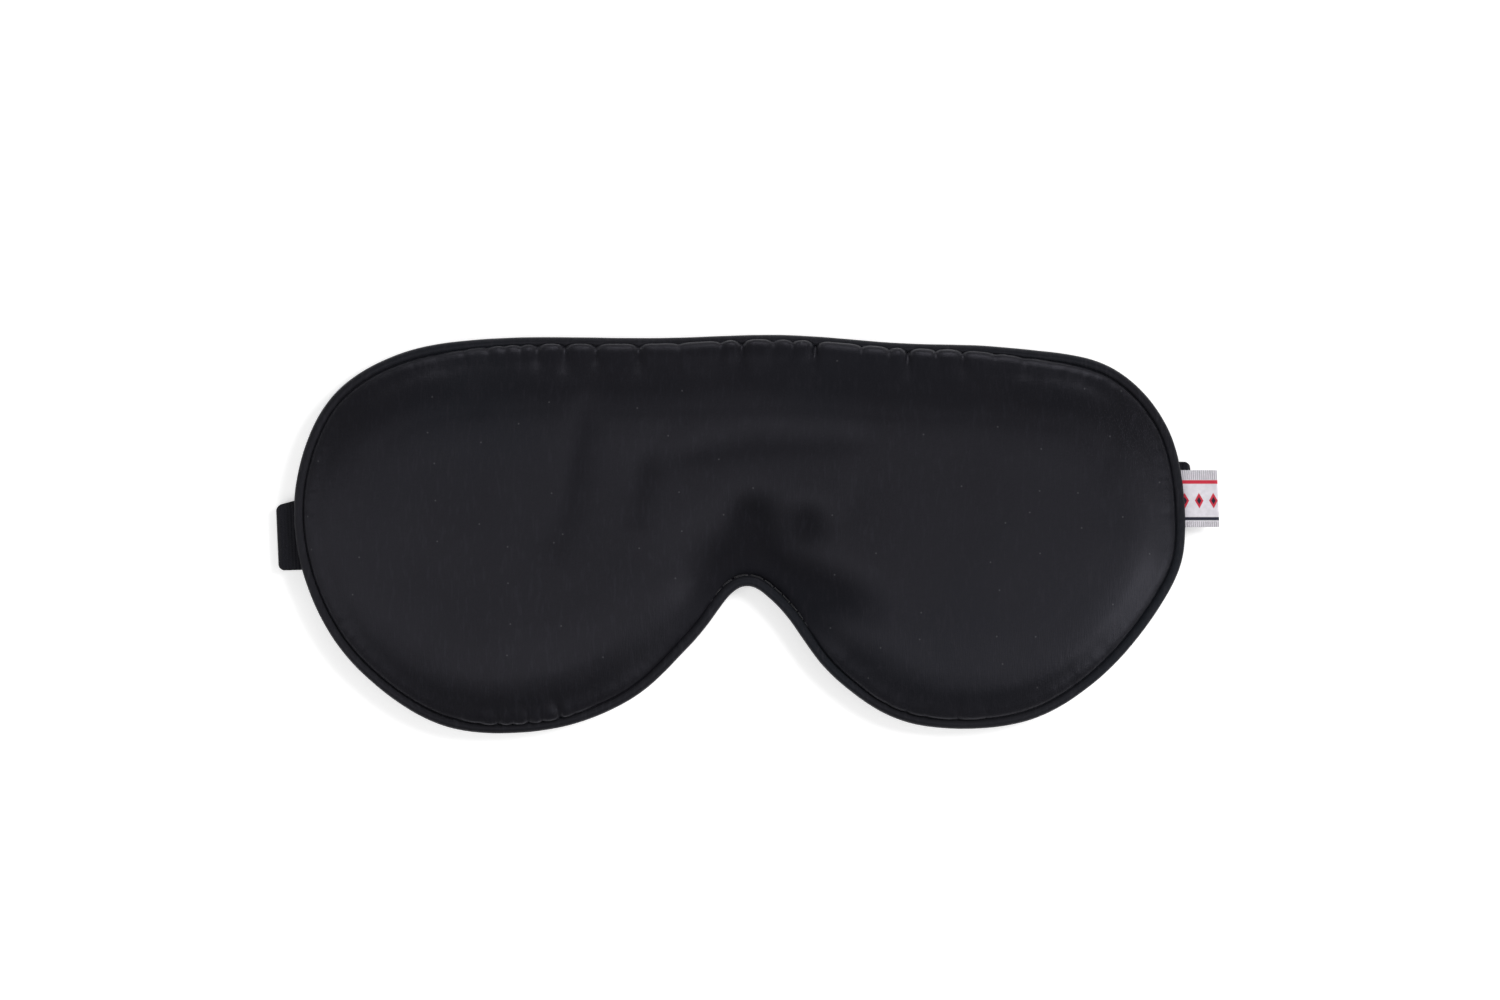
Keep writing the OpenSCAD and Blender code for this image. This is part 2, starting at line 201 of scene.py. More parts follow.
EDGE_STEP = 0.5
EDGE = smooth_loop(edge_stations(), EDGE_STEP)
EDGE_FINE = smooth_loop(EDGE, EDGE_STEP / 2)
EDGE_LENGTH = len(EDGE) * EDGE_STEP


def inward_normals(loop):
    """The direction inwards at each point of a loop."""
    along = unit(np.roll(loop, -3, axis=0) - np.roll(loop, 3, axis=0))
    return np.column_stack([-along[:, 1], along[:, 0]])


EDGE_INWARD = inward_normals(EDGE)


def inward_at(station):
    """The direction inwards from the edge at each station along it."""
    nearest = (station / EDGE_LENGTH * len(EDGE)).astype(int)
    return EDGE_INWARD[np.clip(nearest, 0, len(EDGE) - 1)]


def from_edge(points):
    """For each point: how far in from the edge it lies, and how far along the edge, in millimetres."""
    batch = 2000
    inset, station = np.empty(len(points)), np.empty(len(points))
    for first in range(0, len(points), batch):
        part = slice(first, first + batch)
        gap = np.linalg.norm(points[part, None, :] - EDGE_FINE[None], axis=2)
        nearest = gap.argmin(1)
        inset[part] = gap[np.arange(len(gap)), nearest]
        station[part] = nearest * EDGE_LENGTH / len(EDGE_FINE)
    return inset, station


def inside_edge(points):
    """Which points lie inside the edge, by counting crossings."""
    a, b = EDGE, np.roll(EDGE, -1, axis=0)
    crossings = np.zeros(len(points), int)
    for p, q in zip(a, b):
        spans = (p[1] > points[:, 1]) != (q[1] > points[:, 1])
        if p[1] != q[1]:
            x = p[0] + (points[:, 1] - p[1]) / (q[1] - p[1]) * (q[0] - p[0])
            crossings += spans & (points[:, 0] < x)
    return crossings % 2 == 1


# ---- what the straps measure, in the strap's own directions ----

SPAN_LOW, SPAN_HIGH = strap_box("strap_span_left")
STRAP_T = SPAN_HIGH[2] - SPAN_LOW[2]
STRAP_W = SPAN_HIGH[1] - SPAN_LOW[1]
STRAP_MIDDLE = (SPAN_LOW[1] + SPAN_HIGH[1]) / 2
MAIN_Z = (SPAN_LOW[2] + SPAN_HIGH[2]) / 2
RETURN_LOW, RETURN_HIGH = strap_box("strap_return")
RETURN_Z = (RETURN_LOW[2] + RETURN_HIGH[2]) / 2
TAB_LOW, TAB_HIGH = strap_box("tab_span")
LEFT_END_LOW, LEFT_END_HIGH = strap_box("strap_end_left")
RIGHT_END_HIGH = strap_box("tab_end_right")[1]
SEWN_Z = LEFT_END_HIGH[2] - STRAP_T / 2
RING_LOW, RING_HIGH = strap_box("ring")
BAR_T = RING_HIGH[2] - RING_LOW[2]
RING_Z = (RING_LOW[2] + RING_HIGH[2]) / 2
WRAP_R = strap_box("strap_band")[1][2] - STRAP_T / 2 - RING_Z
LOOP_LOW, LOOP_HIGH = strap_box("strap_loop")
LABEL_LOW, LABEL_HIGH = strap_box("label")
SEWN_LABEL_LOW, SEWN_LABEL_HIGH = strap_box("label_seam_end")


def end_height(node, along):
    """The height of a strap's middle at its end nearest to a place along the strap."""
    points = node_points(node)
    gap = np.abs(points[:, :2] @ ALONG - along)
    level = points[gap < gap.min() + 0.01, 2]
    return (level.min() + level.max()) / 2


# ---- meshes ----

def add_object(name, data):
    """A new object in the scene's collection."""
    obj = bpy.data.objects.new(name, data)
    bpy.context.scene.collection.objects.link(obj)
    return obj


def make_mesh(name, points, faces, attributes=None, smooth=True):
    """A mesh object from millimetres. Each attribute is one number for each point, for the materials."""
    mesh = bpy.data.meshes.new(name)
    mesh.from_pydata([tuple(p) for p in np.asarray(points) * MM], [], [tuple(f) for f in faces])
    mesh.validate()
    for key, values in (attributes or {}).items():
        attribute = mesh.attributes.new(key, "FLOAT", "POINT")
        attribute.data.foreach_set("value", np.asarray(values, np.float32))
    mesh.polygons.foreach_set("use_smooth", [smooth] * len(mesh.polygons))
    return add_object(name, mesh)


def join_parts(parts):
    """Joins (points, faces) pairs into one pair."""
    points, faces, first = [], [], 0
    for part_points, part_faces in parts:
        points.append(part_points)
        faces += [[first + i for i in f] for f in part_faces]
        first += len(part_points)
    return np.vstack(points), faces


def tube(path, sections, closed=False):
    """Faces and points of a tube. sections[i] is the ring of points round path[i]."""
    rings, count = len(path), len(sections[0])
    points = np.vstack(sections)
    last = rings if closed else rings - 1
    faces = []
    for i in range(last):
        a, b = i * count, (i + 1) % rings * count
        for k in range(count):
            n = (k + 1) % count
            faces.append([a + k, a + n, b + n, b + k])
    if not closed:
        faces.append(list(range(count))[::-1])
        faces.append([(rings - 1) * count + k for k in range(count)])
    return points, faces


def thread_tube(path, radius, sides=8):
    """A round thread along a path of points, closed by flat ends."""
    path = np.asarray(path, float)
    ahead = unit(np.gradient(path, axis=0))
    up = np.array([0.0, 0.0, 1.0])
    side = np.cross(ahead, up)
    weak = np.linalg.norm(side, axis=1) < 0.2
    side[weak] = np.cross(ahead[weak], [0.0, 1.0, 0.0])
    side = unit(side)
    top = np.cross(side, ahead)
    turn = full_turn(sides)
    ring = np.cos(turn)[None, :, None] * side[:, None] + np.sin(turn)[None, :, None] * top[:, None]
    return tube(path, path[:, None] + radius * ring)


# ---- materials ----

class Tree:
    """Short calls for building a node tree. A value is a number, a vector or another node's output."""

    def __init__(self, owner):
        owner.use_nodes = True
        self.tree = owner.node_tree

    def add(self, kind, **settings):
        node = self.tree.nodes.new(kind)
        for key, value in settings.items():
            setattr(node, key, value)
        return node

    def fill(self, node, pairs):
        """Sets or links a node's inputs from (key, value) pairs."""
        for key, value in pairs:
            if isinstance(value, bpy.types.NodeSocket):
                self.tree.links.new(value, node.inputs[key])
            else:
                node.inputs[key].default_value = value

    def made(self, kind, values, **settings):
        """A new node whose first inputs take the values in turn."""
        node = self.add(kind, **settings)
        self.fill(node, enumerate(values))
        return node

    def maths(self, operation, *values):
        return self.made("ShaderNodeMath", values, operation=operation).outputs[0]

    def vectors(self, operation, *values):
        return self.made("ShaderNodeVectorMath", values, operation=operation)

    def shader_of(self, kind, *values):
        """The shader that a node makes from its first inputs."""
        return self.made(kind, values).outputs[0]

    def between(self, value, low, high, out_low=0.0, out_high=1.0):
        """value from low to high becomes out_low to out_high."""
        node = self.add("ShaderNodeMapRange", interpolation_type="SMOOTHSTEP")
        keys = ("Value", "From Min", "From Max", "To Min", "To Max")
        self.fill(node, zip(keys, (value, low, high, out_low, out_high)))
        return node.outputs["Result"]


class Nodes(Tree):
    """The nodes of one material."""

    def __init__(self, name, colour, roughness, **settings):
        self.material = bpy.data.materials.new(name)
        super().__init__(self.material)
        self.material.diffuse_color = (*colour, 1)
        self.shader = self.tree.nodes["Principled BSDF"]
        self.fill(self.shader, {"Base Color": (*colour, 1), "Roughness": roughness}.items())
        self.fill(self.shader, ((key.replace("_", " "), value) for key, value in settings.items()))

    def places(self, scale=(1, 1, 1), turn=0.0):
        """Object coordinates, turned about +Z and scaled."""
        place = self.add("ShaderNodeTexCoord").outputs["Object"]
        mapping = self.add("ShaderNodeMapping")
        self.fill(mapping, (("Vector", place), ("Scale", scale), ("Rotation", (0, 0, turn))))
        return mapping.outputs["Vector"]

    def attribute(self, name):
        return self.add("ShaderNodeAttribute", attribute_name=name).outputs["Fac"]

    def noise(self, places, scale, detail=2.0, rough=0.5):
        node = self.add("ShaderNodeTexNoise")
        self.fill(node, zip(("Vector", "Scale", "Detail", "Roughness"), (places, scale, detail, rough)))
        return node.outputs["Fac"]

    def mix(self, share, first, second):
        """Colour first where share is 0 and second where it is 1. Each is a colour or an output."""
        node = self.add("ShaderNodeMix", data_type="RGBA")
        first, second = ((*c, 1) if isinstance(c, tuple) else c for c in (first, second))
        self.fill(node, (("Factor", share), (6, first), (7, second)))
        return node.outputs[2]

    def colour(self, output):
        self.fill(self.shader, [("Base Color", output)])

    def rough(self, output):
        self.fill(self.shader, [("Roughness", output)])

    def bumps(self, heights):
        """(output, height in millimetres) pairs, one bump after another."""
        normal = None
        for output, height in heights:
            bump = self.add("ShaderNodeBump")
            self.fill(bump, (("Strength", 1.0), ("Distance", height * MM), ("Height", output)))
            if normal:
                self.fill(bump, [("Normal", normal)])
            normal = bump.outputs["Normal"]
        self.fill(self.shader, [("Normal", normal)])


def scaled(colour, share):
    return tuple(min(1.0, c * share) for c in colour)


def satin(name, colour, roughness=0.42, lint=0.0, sheen=0.38):
    """Black satin: fine upright floats, slow changes of tone, and a few specks of lint."""
    m = Nodes(name, colour, roughness, Anisotropic=0.5, Specular_IOR_Level=sheen,
              Specular_Tint=(0.87, 0.85, 1, 1), Sheen_Weight=0.03, Sheen_Roughness=0.4,
              Sheen_Tint=(0.8, 0.8, 1, 1))
    across_floats = m.made("ShaderNodeCombineXYZ", (1.0,))
    m.fill(m.shader, [("Tangent", across_floats.outputs[0])])
    floats = m.noise(m.places((3600, 420, 1200)), 1.0, 1.0)
    slubs = m.noise(m.places((1300, 240, 400)), 1.0, 2.0)
    crossing = m.noise(m.places((700, 2600, 1200)), 1.0, 1.0)
    tone = m.noise(m.places(), 22.0, 3.0)
    hue = m.noise(m.places((1, 1.3, 1)), 14.0, 2.0)
    cloth = m.mix(m.between(tone, 0.3, 0.7), scaled(colour, 0.82), scaled(colour, 1.18))
    bluish = (colour[0] * 0.86, colour[1] * 1.02, colour[2] * 1.06)
    cloth = m.mix(m.between(hue, 0.5, 0.72), cloth, bluish)
    cloth = m.mix(m.between(floats, 0.6, 0.75), cloth, scaled(colour, 1.3))
    cloth = m.mix(m.between(slubs, 0.52, 0.72), cloth, scaled(colour, 1.5))
    if lint:
        cells = m.add("ShaderNodeTexVoronoi", feature="F1", voronoi_dimensions="2D")
        m.fill(cells, (("Vector", m.places()), ("Scale", 105.0)))
        red = m.made("ShaderNodeSeparateColor", [cells.outputs["Color"]])
        speck = m.between(cells.outputs["Distance"], 0.01, 0.03, 1.0, 0.0)
        chosen = m.maths("LESS_THAN", red.outputs[0], lint)
        cloth = m.mix(m.maths("MULTIPLY", speck, chosen), cloth, (0.036, 0.036, 0.039))
    m.colour(cloth)
    # Fine puckers take the sheen away where the cloth is drawn in
    uneven = m.between(m.noise(m.places(), 60.0), 0.2, 0.8, roughness - 0.04, roughness + 0.05)
    m.rough(m.maths("ADD", uneven, m.between(m.attribute("drawn_in"), 0.0, 1.0, 0.0, 0.55)))
    m.bumps([(floats, 0.03), (crossing, 0.015), (slubs, 0.02)])
    return m.material


def elastic(name, colour):
    """Woven elastic: ribs across the band, and fine warp ends along it."""
    m = Nodes(name, colour, 0.62, Sheen_Weight=0.04, Sheen_Roughness=0.5, Specular_IOR_Level=0.22)
    along, across = m.attribute("along"), m.attribute("across")
    ribs = m.maths("SINE", m.maths("MULTIPLY", along, 2 * math.pi / 0.75))
    ends = m.maths("SINE", m.maths("MULTIPLY", across, 2 * math.pi / 0.55))
    weave = m.maths("MULTIPLY_ADD", ends, 0.45, ribs)
    tone = m.between(m.noise(m.places(), 300.0, 3.0), 0.3, 0.7)
    dark = m.mix(m.between(weave, -1.2, 1.2), scaled(colour, 0.7), scaled(colour, 1.25))
    m.colour(m.mix(tone, dark, scaled(colour, 1.1)))
    m.bumps([(weave, 0.05), (m.noise(m.places(), 2500.0), 0.02)])
    return m.material


def moulded_plastic(name, colour):
    """Moulded black plastic with a faint grain and worn, duller patches."""
    m = Nodes(name, colour, 0.3, Specular_IOR_Level=0.5)
    worn = m.noise(m.places(), 160.0, 4.0)
    m.rough(m.between(worn, 0.35, 0.7, 0.24, 0.42))
    m.colour(m.mix(m.between(worn, 0.4, 0.8), colour, scaled(colour, 1.35)))
    m.bumps([(m.noise(m.places(), 1400.0), 0.008)])
    return m.material


def sewing_thread(name, colour):
    """Twisted thread: slanting plies."""
    m = Nodes(name, colour, 0.5, Sheen_Weight=0.2, Sheen_Roughness=0.4)
    plies = m.noise(m.places((2600, 2600, 5200), math.radians(30)), 1.0, 2.0)
    m.colour(m.mix(m.between(plies, 0.35, 0.65), scaled(colour, 0.7), scaled(colour, 1.4)))
    m.bumps([(plies, 0.03)])
    return m.material


def wadding(name, colour, fibre=900.0):
    """Loose white fibres."""
    m = Nodes(name, colour, 0.95, Sheen_Weight=0.3, Sheen_Roughness=0.6)
    fibres = m.noise(m.places((1, 2.4, 1)), fibre, 5.0, 0.7)
    m.colour(m.mix(m.between(fibres, 0.3, 0.7), scaled(colour, 0.8), colour))
    m.bumps([(fibres, 0.3)])
    return m.material


def lining_cloth(name, colour):
    """Plain-woven matt lining."""
    m = Nodes(name, colour, 0.85, Sheen_Weight=0.1, Sheen_Roughness=0.6)
    weave = m.noise(m.places((2500, 2500, 2500)), 1.0, 1.0)
    m.colour(m.mix(m.between(weave, 0.35, 0.65), scaled(colour, 0.75), scaled(colour, 1.3)))
    m.bumps([(weave, 0.05)])
    return m.material


def woven_label(name, white, red, navy):
    """Woven ribbon: ribbed selvedges, one red and one navy line, and a row of small lozenges between them.
    The across attribute runs from -1 at the lower edge to 1 at the upper edge."""
    m = Nodes(name, white, 0.6, Sheen_Weight=0.15, Sheen_Roughness=0.5)
    across, along = m.attribute("across"), m.attribute("along")

    def band(low, high, soft=0.015):
        return m.maths("MULTIPLY", m.between(across, low - soft, low + soft),
                       m.between(across, high - soft, high + soft, 1.0, 0.0))

    ribs = m.maths("SINE", m.maths("MULTIPLY", along, 2 * math.pi / 0.5))
    ticks = m.between(ribs, -0.5, 0.9)
    selvedge = m.maths("MAXIMUM", band(0.66, 1.2), band(-1.2, -0.80))
    warp = m.maths("SINE", m.maths("MULTIPLY", across, 6.8 * 2 * math.pi / 0.34))
    weft = m.maths("SINE", m.maths("MULTIPLY", along, 2 * math.pi / 0.3))
    weave = m.maths("MULTIPLY", warp, weft)
    grain = m.noise(m.places((1, 1, 1)), 900.0, 3.0)
    cloth = m.mix(m.between(grain, 0.3, 0.7), scaled(white, 0.9), white)
    cloth = m.mix(m.maths("MULTIPLY", selvedge, ticks), cloth, scaled(white, 0.62))
    cell = m.maths("PINGPONG", m.maths("ADD", along, 0.6), 1.7)
    reach = m.maths("ADD", m.maths("DIVIDE", m.maths("ABSOLUTE", m.maths("ADD", across, 0.07)), 0.28),
                    m.maths("DIVIDE", cell, 1.05))
    lozenge = m.between(reach, 0.9, 1.05, 1.0, 0.0)
    heart = m.between(reach, 0.42, 0.55, 1.0, 0.0)
    cloth = m.mix(lozenge, cloth, red)
    cloth = m.mix(heart, cloth, navy)
    cloth = m.mix(band(0.52, 0.65), cloth, red)
    cloth = m.mix(band(-0.76, -0.645), cloth, navy)
    m.colour(cloth)
    m.bumps([(m.maths("MULTIPLY", selvedge, ribs), 0.06), (weave, 0.03), (grain, 0.02)])
    return m.material


def dress(obj, material):
    obj.data.materials.clear()
    obj.data.materials.append(material)
    return obj


# ---- the padded panels ----

def panel_grid(insets, spacing, every=1):
    """A flat mesh of the mask's shape: loops along the edge at the given insets, and triangles inside. A loop
    takes one in every so many of the edge's points. Returns the points, the triangles and a loop's count."""
    loops = [EDGE[::every] + u * EDGE_INWARD[::every] for u in insets]
    low, high = EDGE.min(0), EDGE.max(0)
    inner = []
    for k, y in enumerate(np.arange(low[1], high[1], spacing * math.sqrt(0.75))):
        x = np.arange(low[0] + (k % 2) * spacing / 2, high[0], spacing)
        inner.append(np.column_stack([x, np.full(len(x), y)]))
    inner = np.vstack(inner)
    inner = inner[inside_edge(inner)]
    inset, _ = from_edge(inner)
    inner = inner[inset > insets[-1] + 0.7 * spacing]
    points = np.vstack(loops + [inner])
    count = len(loops[0])
    border = [(i, (i + 1) % count) for i in range(count)]
    made = geometry.delaunay_2d_cdt([Vector(p) for p in points], border, [], 1, 1e-5)
    if len(made[0]) != len(points):
        raise RuntimeError("the panel's mesh lost some points")
    points = np.array([tuple(v) for v in made[0]])
    return points, np.array([tuple(f) for f in made[2]]), count


def neighbours(faces, count):
    """Each mesh edge once, as two arrays of point numbers, and how many edges each point has."""
    pairs = np.sort(np.vstack([faces[:, [0, 1]], faces[:, [1, 2]], faces[:, [2, 0]]]), axis=1)
    pairs = np.unique(pairs, axis=0)
    uses = np.bincount(pairs.ravel(), minlength=count)
    return pairs[:, 0], pairs[:, 1], uses


def relax(heights, faces, share, rounds):
    """Evens out heights over the mesh. share is how far each point follows its neighbours, 0 to 1."""
    a, b, uses = neighbours(faces, len(heights))
    heights = heights.copy()
    for _ in range(rounds):
        total = np.bincount(a, heights[b], len(heights)) + np.bincount(b, heights[a], len(heights))
        heights += share * (total / uses - heights)
    return heights


def profile(heights, inset, step=0.6, reach=12, soft=3):
    """The average height at each point's distance from the edge. Beyond reach, the distance softly stops
    counting."""
    inset = reach - soft * np.logaddexp(0, (reach - inset) / soft)
    group = ((inset - inset.min()) / step).astype(int)
    uses = np.bincount(group)
    found = uses > 0
    places, levels = (np.bincount(group, values)[found] / uses[found] for values in (inset, heights))
    return np.interp(inset, places, levels)


FAR = 50.0


def level_at(surface, x, y, way):
    """The height at which a ray from far above (way 1) or below (way -1) meets a surface, or None."""
    hit = surface.ray_cast(Vector((x, y, FAR * way)), Vector((0, 0, -way)))[0]
    return hit[2] if hit else None


def cad_heights(points, node, way):
    """The height of a CAD panel's outer face at each point. way is 1 for its top, -1 for its underside."""
    surface = cad_surface(node)
    hits = (level_at(surface, x, y, way) for x, y in points)
    return np.array([np.nan if hit is None else hit for hit in hits])


def path_depth(points, path):
    """How far each point lies from a path of (x, y, depth), and the path's depth nearest to it."""
    path = np.asarray(path, float)
    best, depth = np.full(len(points), np.inf), np.zeros(len(points))
    for start, end in zip(path, path[1:]):
        way = (end - start)[:2]
        t = np.clip((points - start[:2]) @ way / (way @ way), 0, 1)
        gap = np.linalg.norm(points - start[:2] - t[:, None] * way, axis=1)
        closer = gap < best
        best[closer] = gap[closer]
        depth[closer] = (start[2] + t * (end[2] - start[2]))[closer]
    return best, depth


# Soft furrows in the front, from the strap's hardware behind it, from the filling and along the nose notch.
# Each is a path of (x, y, depth) from feature_origin(), and a half width. A negative depth is a ridge.
FURROWS = [
    ([(-62, 37, 0.2), (-62, 28, 0.4), (-62, 19, 0)], 2.2),
    ([(-33, 38, 0), (-35.5, 28, 0.3), (-36.5, 18, 0.9), (-38.5, 8, 0.8), (-40, 0, 0.6), (-43, -9, 0.3),
      (-43, -16, 0)], 3.6),
    ([(-20.5, 14, 0.2), (-22, 8, 0.8), (-23.5, 2, 0.6), (-24.5, -7, 0)], 3.2),
    ([(-18, 10, 0.1), (-8, 12.5, 0.4), (4.5, 14.3, 0.5), (24, 14.5, 0.3), (34, 13, 0)], 3.0),
    ([(8.5, 39, 0.1), (8.5, 32, 0.3), (8.5, 24, 0)], 2.2),
    ([(30, 12, 0), (27.5, 0, 0.2), (26, -8, 0)], 2.4),
    ([(88, 20, 0), (87, 10, 0.2), (85, 2, 0)], 2.6),
    ([(-2, -17, 0.6), (-7, -21, 0.9), (-11, -27, 0.8), (-16, -33, 0.7), (-22, -38, 0.5), (-30, -43, 0.2),
      (-36, -46, 0)], 3.9),
    ([(6, -18, 0.8), (11, -22, 1.1), (15.5, -27, 1.0), (20.5, -31.5, 0.7), (26, -36, 0)], 3.4),
    ([(34, -40, 0), (46, -46.5, -0.4), (56, -47.5, -0.5), (68, -45, -0.5), (80, -37, -0.4),
      (90, -26, 0)], 4.5),
    ([(-34, -40, 0), (-48, -48, -0.3), (-60, -47, -0.3), (-74, -40, 0)], 4.5),
]
# Hollows over the nose: a middle, a turn in degrees, a half length, how far they reach up and down, and a
# depth
HOLLOWS = [
    ((3.2, -3.8), 0, 5.4, 4.8, 8.5, 2.0),
    ((0.6, -14.5), 0, 12.0, 7.0, 6.0, 1.7),
    ((15.8, -5.2), 0, 4.6, 3.6, 4.2, 1.4),
    ((19.0, -20.8), -18, 12.0, 4.5, 5.5, 2.0),
]
# Power in the shape of a furrow or a hollow: 2 is round at the bottom, and 1 is a sharp V
SOFT = 1.8


# How far below the brow's highest edge the middle of the mask's sides is
SIDES_BELOW_BROW = 39.4


def feature_origin():
    """The point that furrows, lips and the camera are placed from: on the mask's middle line, level with the
    middle of its sides."""
    return np.array([MIDDLE[0], PIPING_HIGH[1] - SIDES_BELOW_BROW])


def front_features(points):
    """How far the front sinks at each point, in millimetres."""
    local = points - feature_origin()
    sunk = np.zeros(len(points))
    for path, width in FURROWS:
        gap, depth = path_depth(local, path)
        sunk += depth * np.exp(-(gap / width) ** SOFT)
    for middle, turn, half, up, down, depth in HOLLOWS:
        way = heading(math.radians(turn))
        along, across = (local - middle) @ way, (local - middle) @ (-way[1], way[0])
        reach = np.where(across > 0, across / up, -across / down)
        sunk += depth * np.exp(-np.hypot(along / half, reach) ** SOFT)
    return sunk


def edge_place(x, y):
    """How far along the edge the point nearest to (x, y) is."""
    return from_edge(np.array([[x, y]]) + feature_origin())[1][0]


def along_edge(station, place):
    """How far each station lies past a place on the edge, the shorter way round."""
    return (station - place + EDGE_LENGTH / 2) % EDGE_LENGTH - EDGE_LENGTH / 2


# Where the front's satin stands out over the piping in scallops. Each lip has the level of its edge, how far
# it stands out at some x, and where it is caught down between scallops: x and how deep. Both are from 0 to 1.
LIPS = [
    (38, [(-72, 0), (-62, 0.5), (-46, 0.7), (-15, 0.85), (0, 1.0), (50, 0.95), (62, 0.65), (82, 0)],
     [(-66, 0.4), (-60, 0.6), (-56, 0.35), (-52, 0.55), (-48, 0.9), (-41.5, 1.0), (-34, 0.9), (-24, 0.9),
      (-14.5, 0.3), (-4.5, 0.4), (0.5, 1.0), (8, 0.45), (12.5, 0.4), (18, 1.0), (29, 0.35), (35.5, 0.4),
      (40, 0.85), (46.5, 0.35), (53, 0.55), (61, 0.35), (68, 0.5), (75, 0.4)]),
    (-54, [(-68, 0), (-60, 0.45), (-42, 0.45), (-34, 0)],
     [(-62, 0.6), (-57.5, 0.8), (-54, 0.5), (-50, 0.9), (-46.5, 0.6), (-42, 0.9), (-38, 0.6)]),
    (-54, [(26, 0), (34, 0.25), (56, 0.25), (66, 0)],
     [(32, 0.6), (38.5, 0.8), (44, 0.6), (52, 0.9), (59, 0.7)]),
]
# The shape of a full lip: inset, how far out the satin goes there, and how much higher it stands
LIP_SHAPE = [(2.30, 0, 0), (2.42, 0.5, 0.32), (2.62, 1.27, 0.25), (2.95, 1.9, 0.25), (3.4, 2.1, 0.4),
             (4.0, 1.9, 0.6), (4.8, 1.4, 0.85), (6.0, 0.7, 0.75), (7.5, 0.25, 0.35), (9.5, 0, 0)]
# How far a caught place draws the lip in along the edge, and how far from its level a lip can be
CAUGHT_REACH = 3.2
LIP_NEAR = 14


def lip_strength(points, station):
    """How much of a full lip the front has at each point."""
    local = points - feature_origin()
    strength = np.zeros(len(points))
    for level, reach, caught in LIPS:
        near = np.abs(local[:, 1] - level) < LIP_NEAR
        out = np.interp(local[:, 0], *np.transpose(reach)) * near
        dip = np.zeros(len(points))
        for x, depth in caught:
            away = np.abs(along_edge(station, edge_place(x, level))) / CAUGHT_REACH
            dip = np.maximum(dip, depth * (1 - np.sqrt(1 - (1 - np.minimum(away, 1)) ** 2)))
        strength = np.maximum(strength, out * (1 - dip))
    return strength


def lip_gathers(seed):
    """A short valley in the satin behind each place where a lip is caught down."""
    rng = np.random.default_rng(seed)
    return [(edge_place(x, level), depth * np.interp(x, *np.transpose(reach)) * rng.uniform(0.7, 1.1),
             rng.uniform(0.55, 0.9), rng.uniform(2.5, 5.0), rng.uniform(-0.2, 0.2))
            for level, reach, caught in LIPS for x, depth in caught]


def gathers(seed, depth, spacing):
    """The gathers along the whole edge: (place, depth, width, length, lean) of each."""
    rng = np.random.default_rng(seed)
    found, at = [], rng.uniform(0, spacing)
    while at < EDGE_LENGTH - 1:
        found.append((at, depth * rng.uniform(0.45, 1.25), rng.uniform(0.55, 1.1), rng.uniform(2.0, 5.5),
                      rng.uniform(-0.25, 0.25)))
        at += spacing * rng.uniform(0.55, 1.5)
    return found


def gather_depth(inset, station, found, start):
    """How deep the gathers are at each point: 1 or so in the valley of a deep one at the seam."""
    depth = np.zeros(len(inset))
    u = np.maximum(inset - start, 0)
    for place, strength, width, length, lean in found:
        off = along_edge(station, place + lean * u)
        near = np.abs(off) < 5 * (width + 0.35 * length)
        w = width + 0.22 * u[near]
        depth[near] += strength * np.exp(-(off[near] / w) ** 2) * np.exp(-(u[near] / length) ** 1.4)
    return depth


# ---- operators ----

class Build(bpy.types.Operator):
    """Base of the builders: an operator that can be undone."""
    bl_options = {"REGISTER", "UNDO"}


FRONT_INSETS = [2.30, 2.42, 2.62, 2.95, 3.4, 4.0, 4.8]
# The satin loses its sheen where it's drawn in. A hollow this deep is 63% dull.
DRAWN_IN_SCALE = 1.1
# How high above the seam's level the front panel starts, and how softly it stops short of what lies below
SEAM_RISE = 0.35
CLEAR_SOFTNESS = 0.35


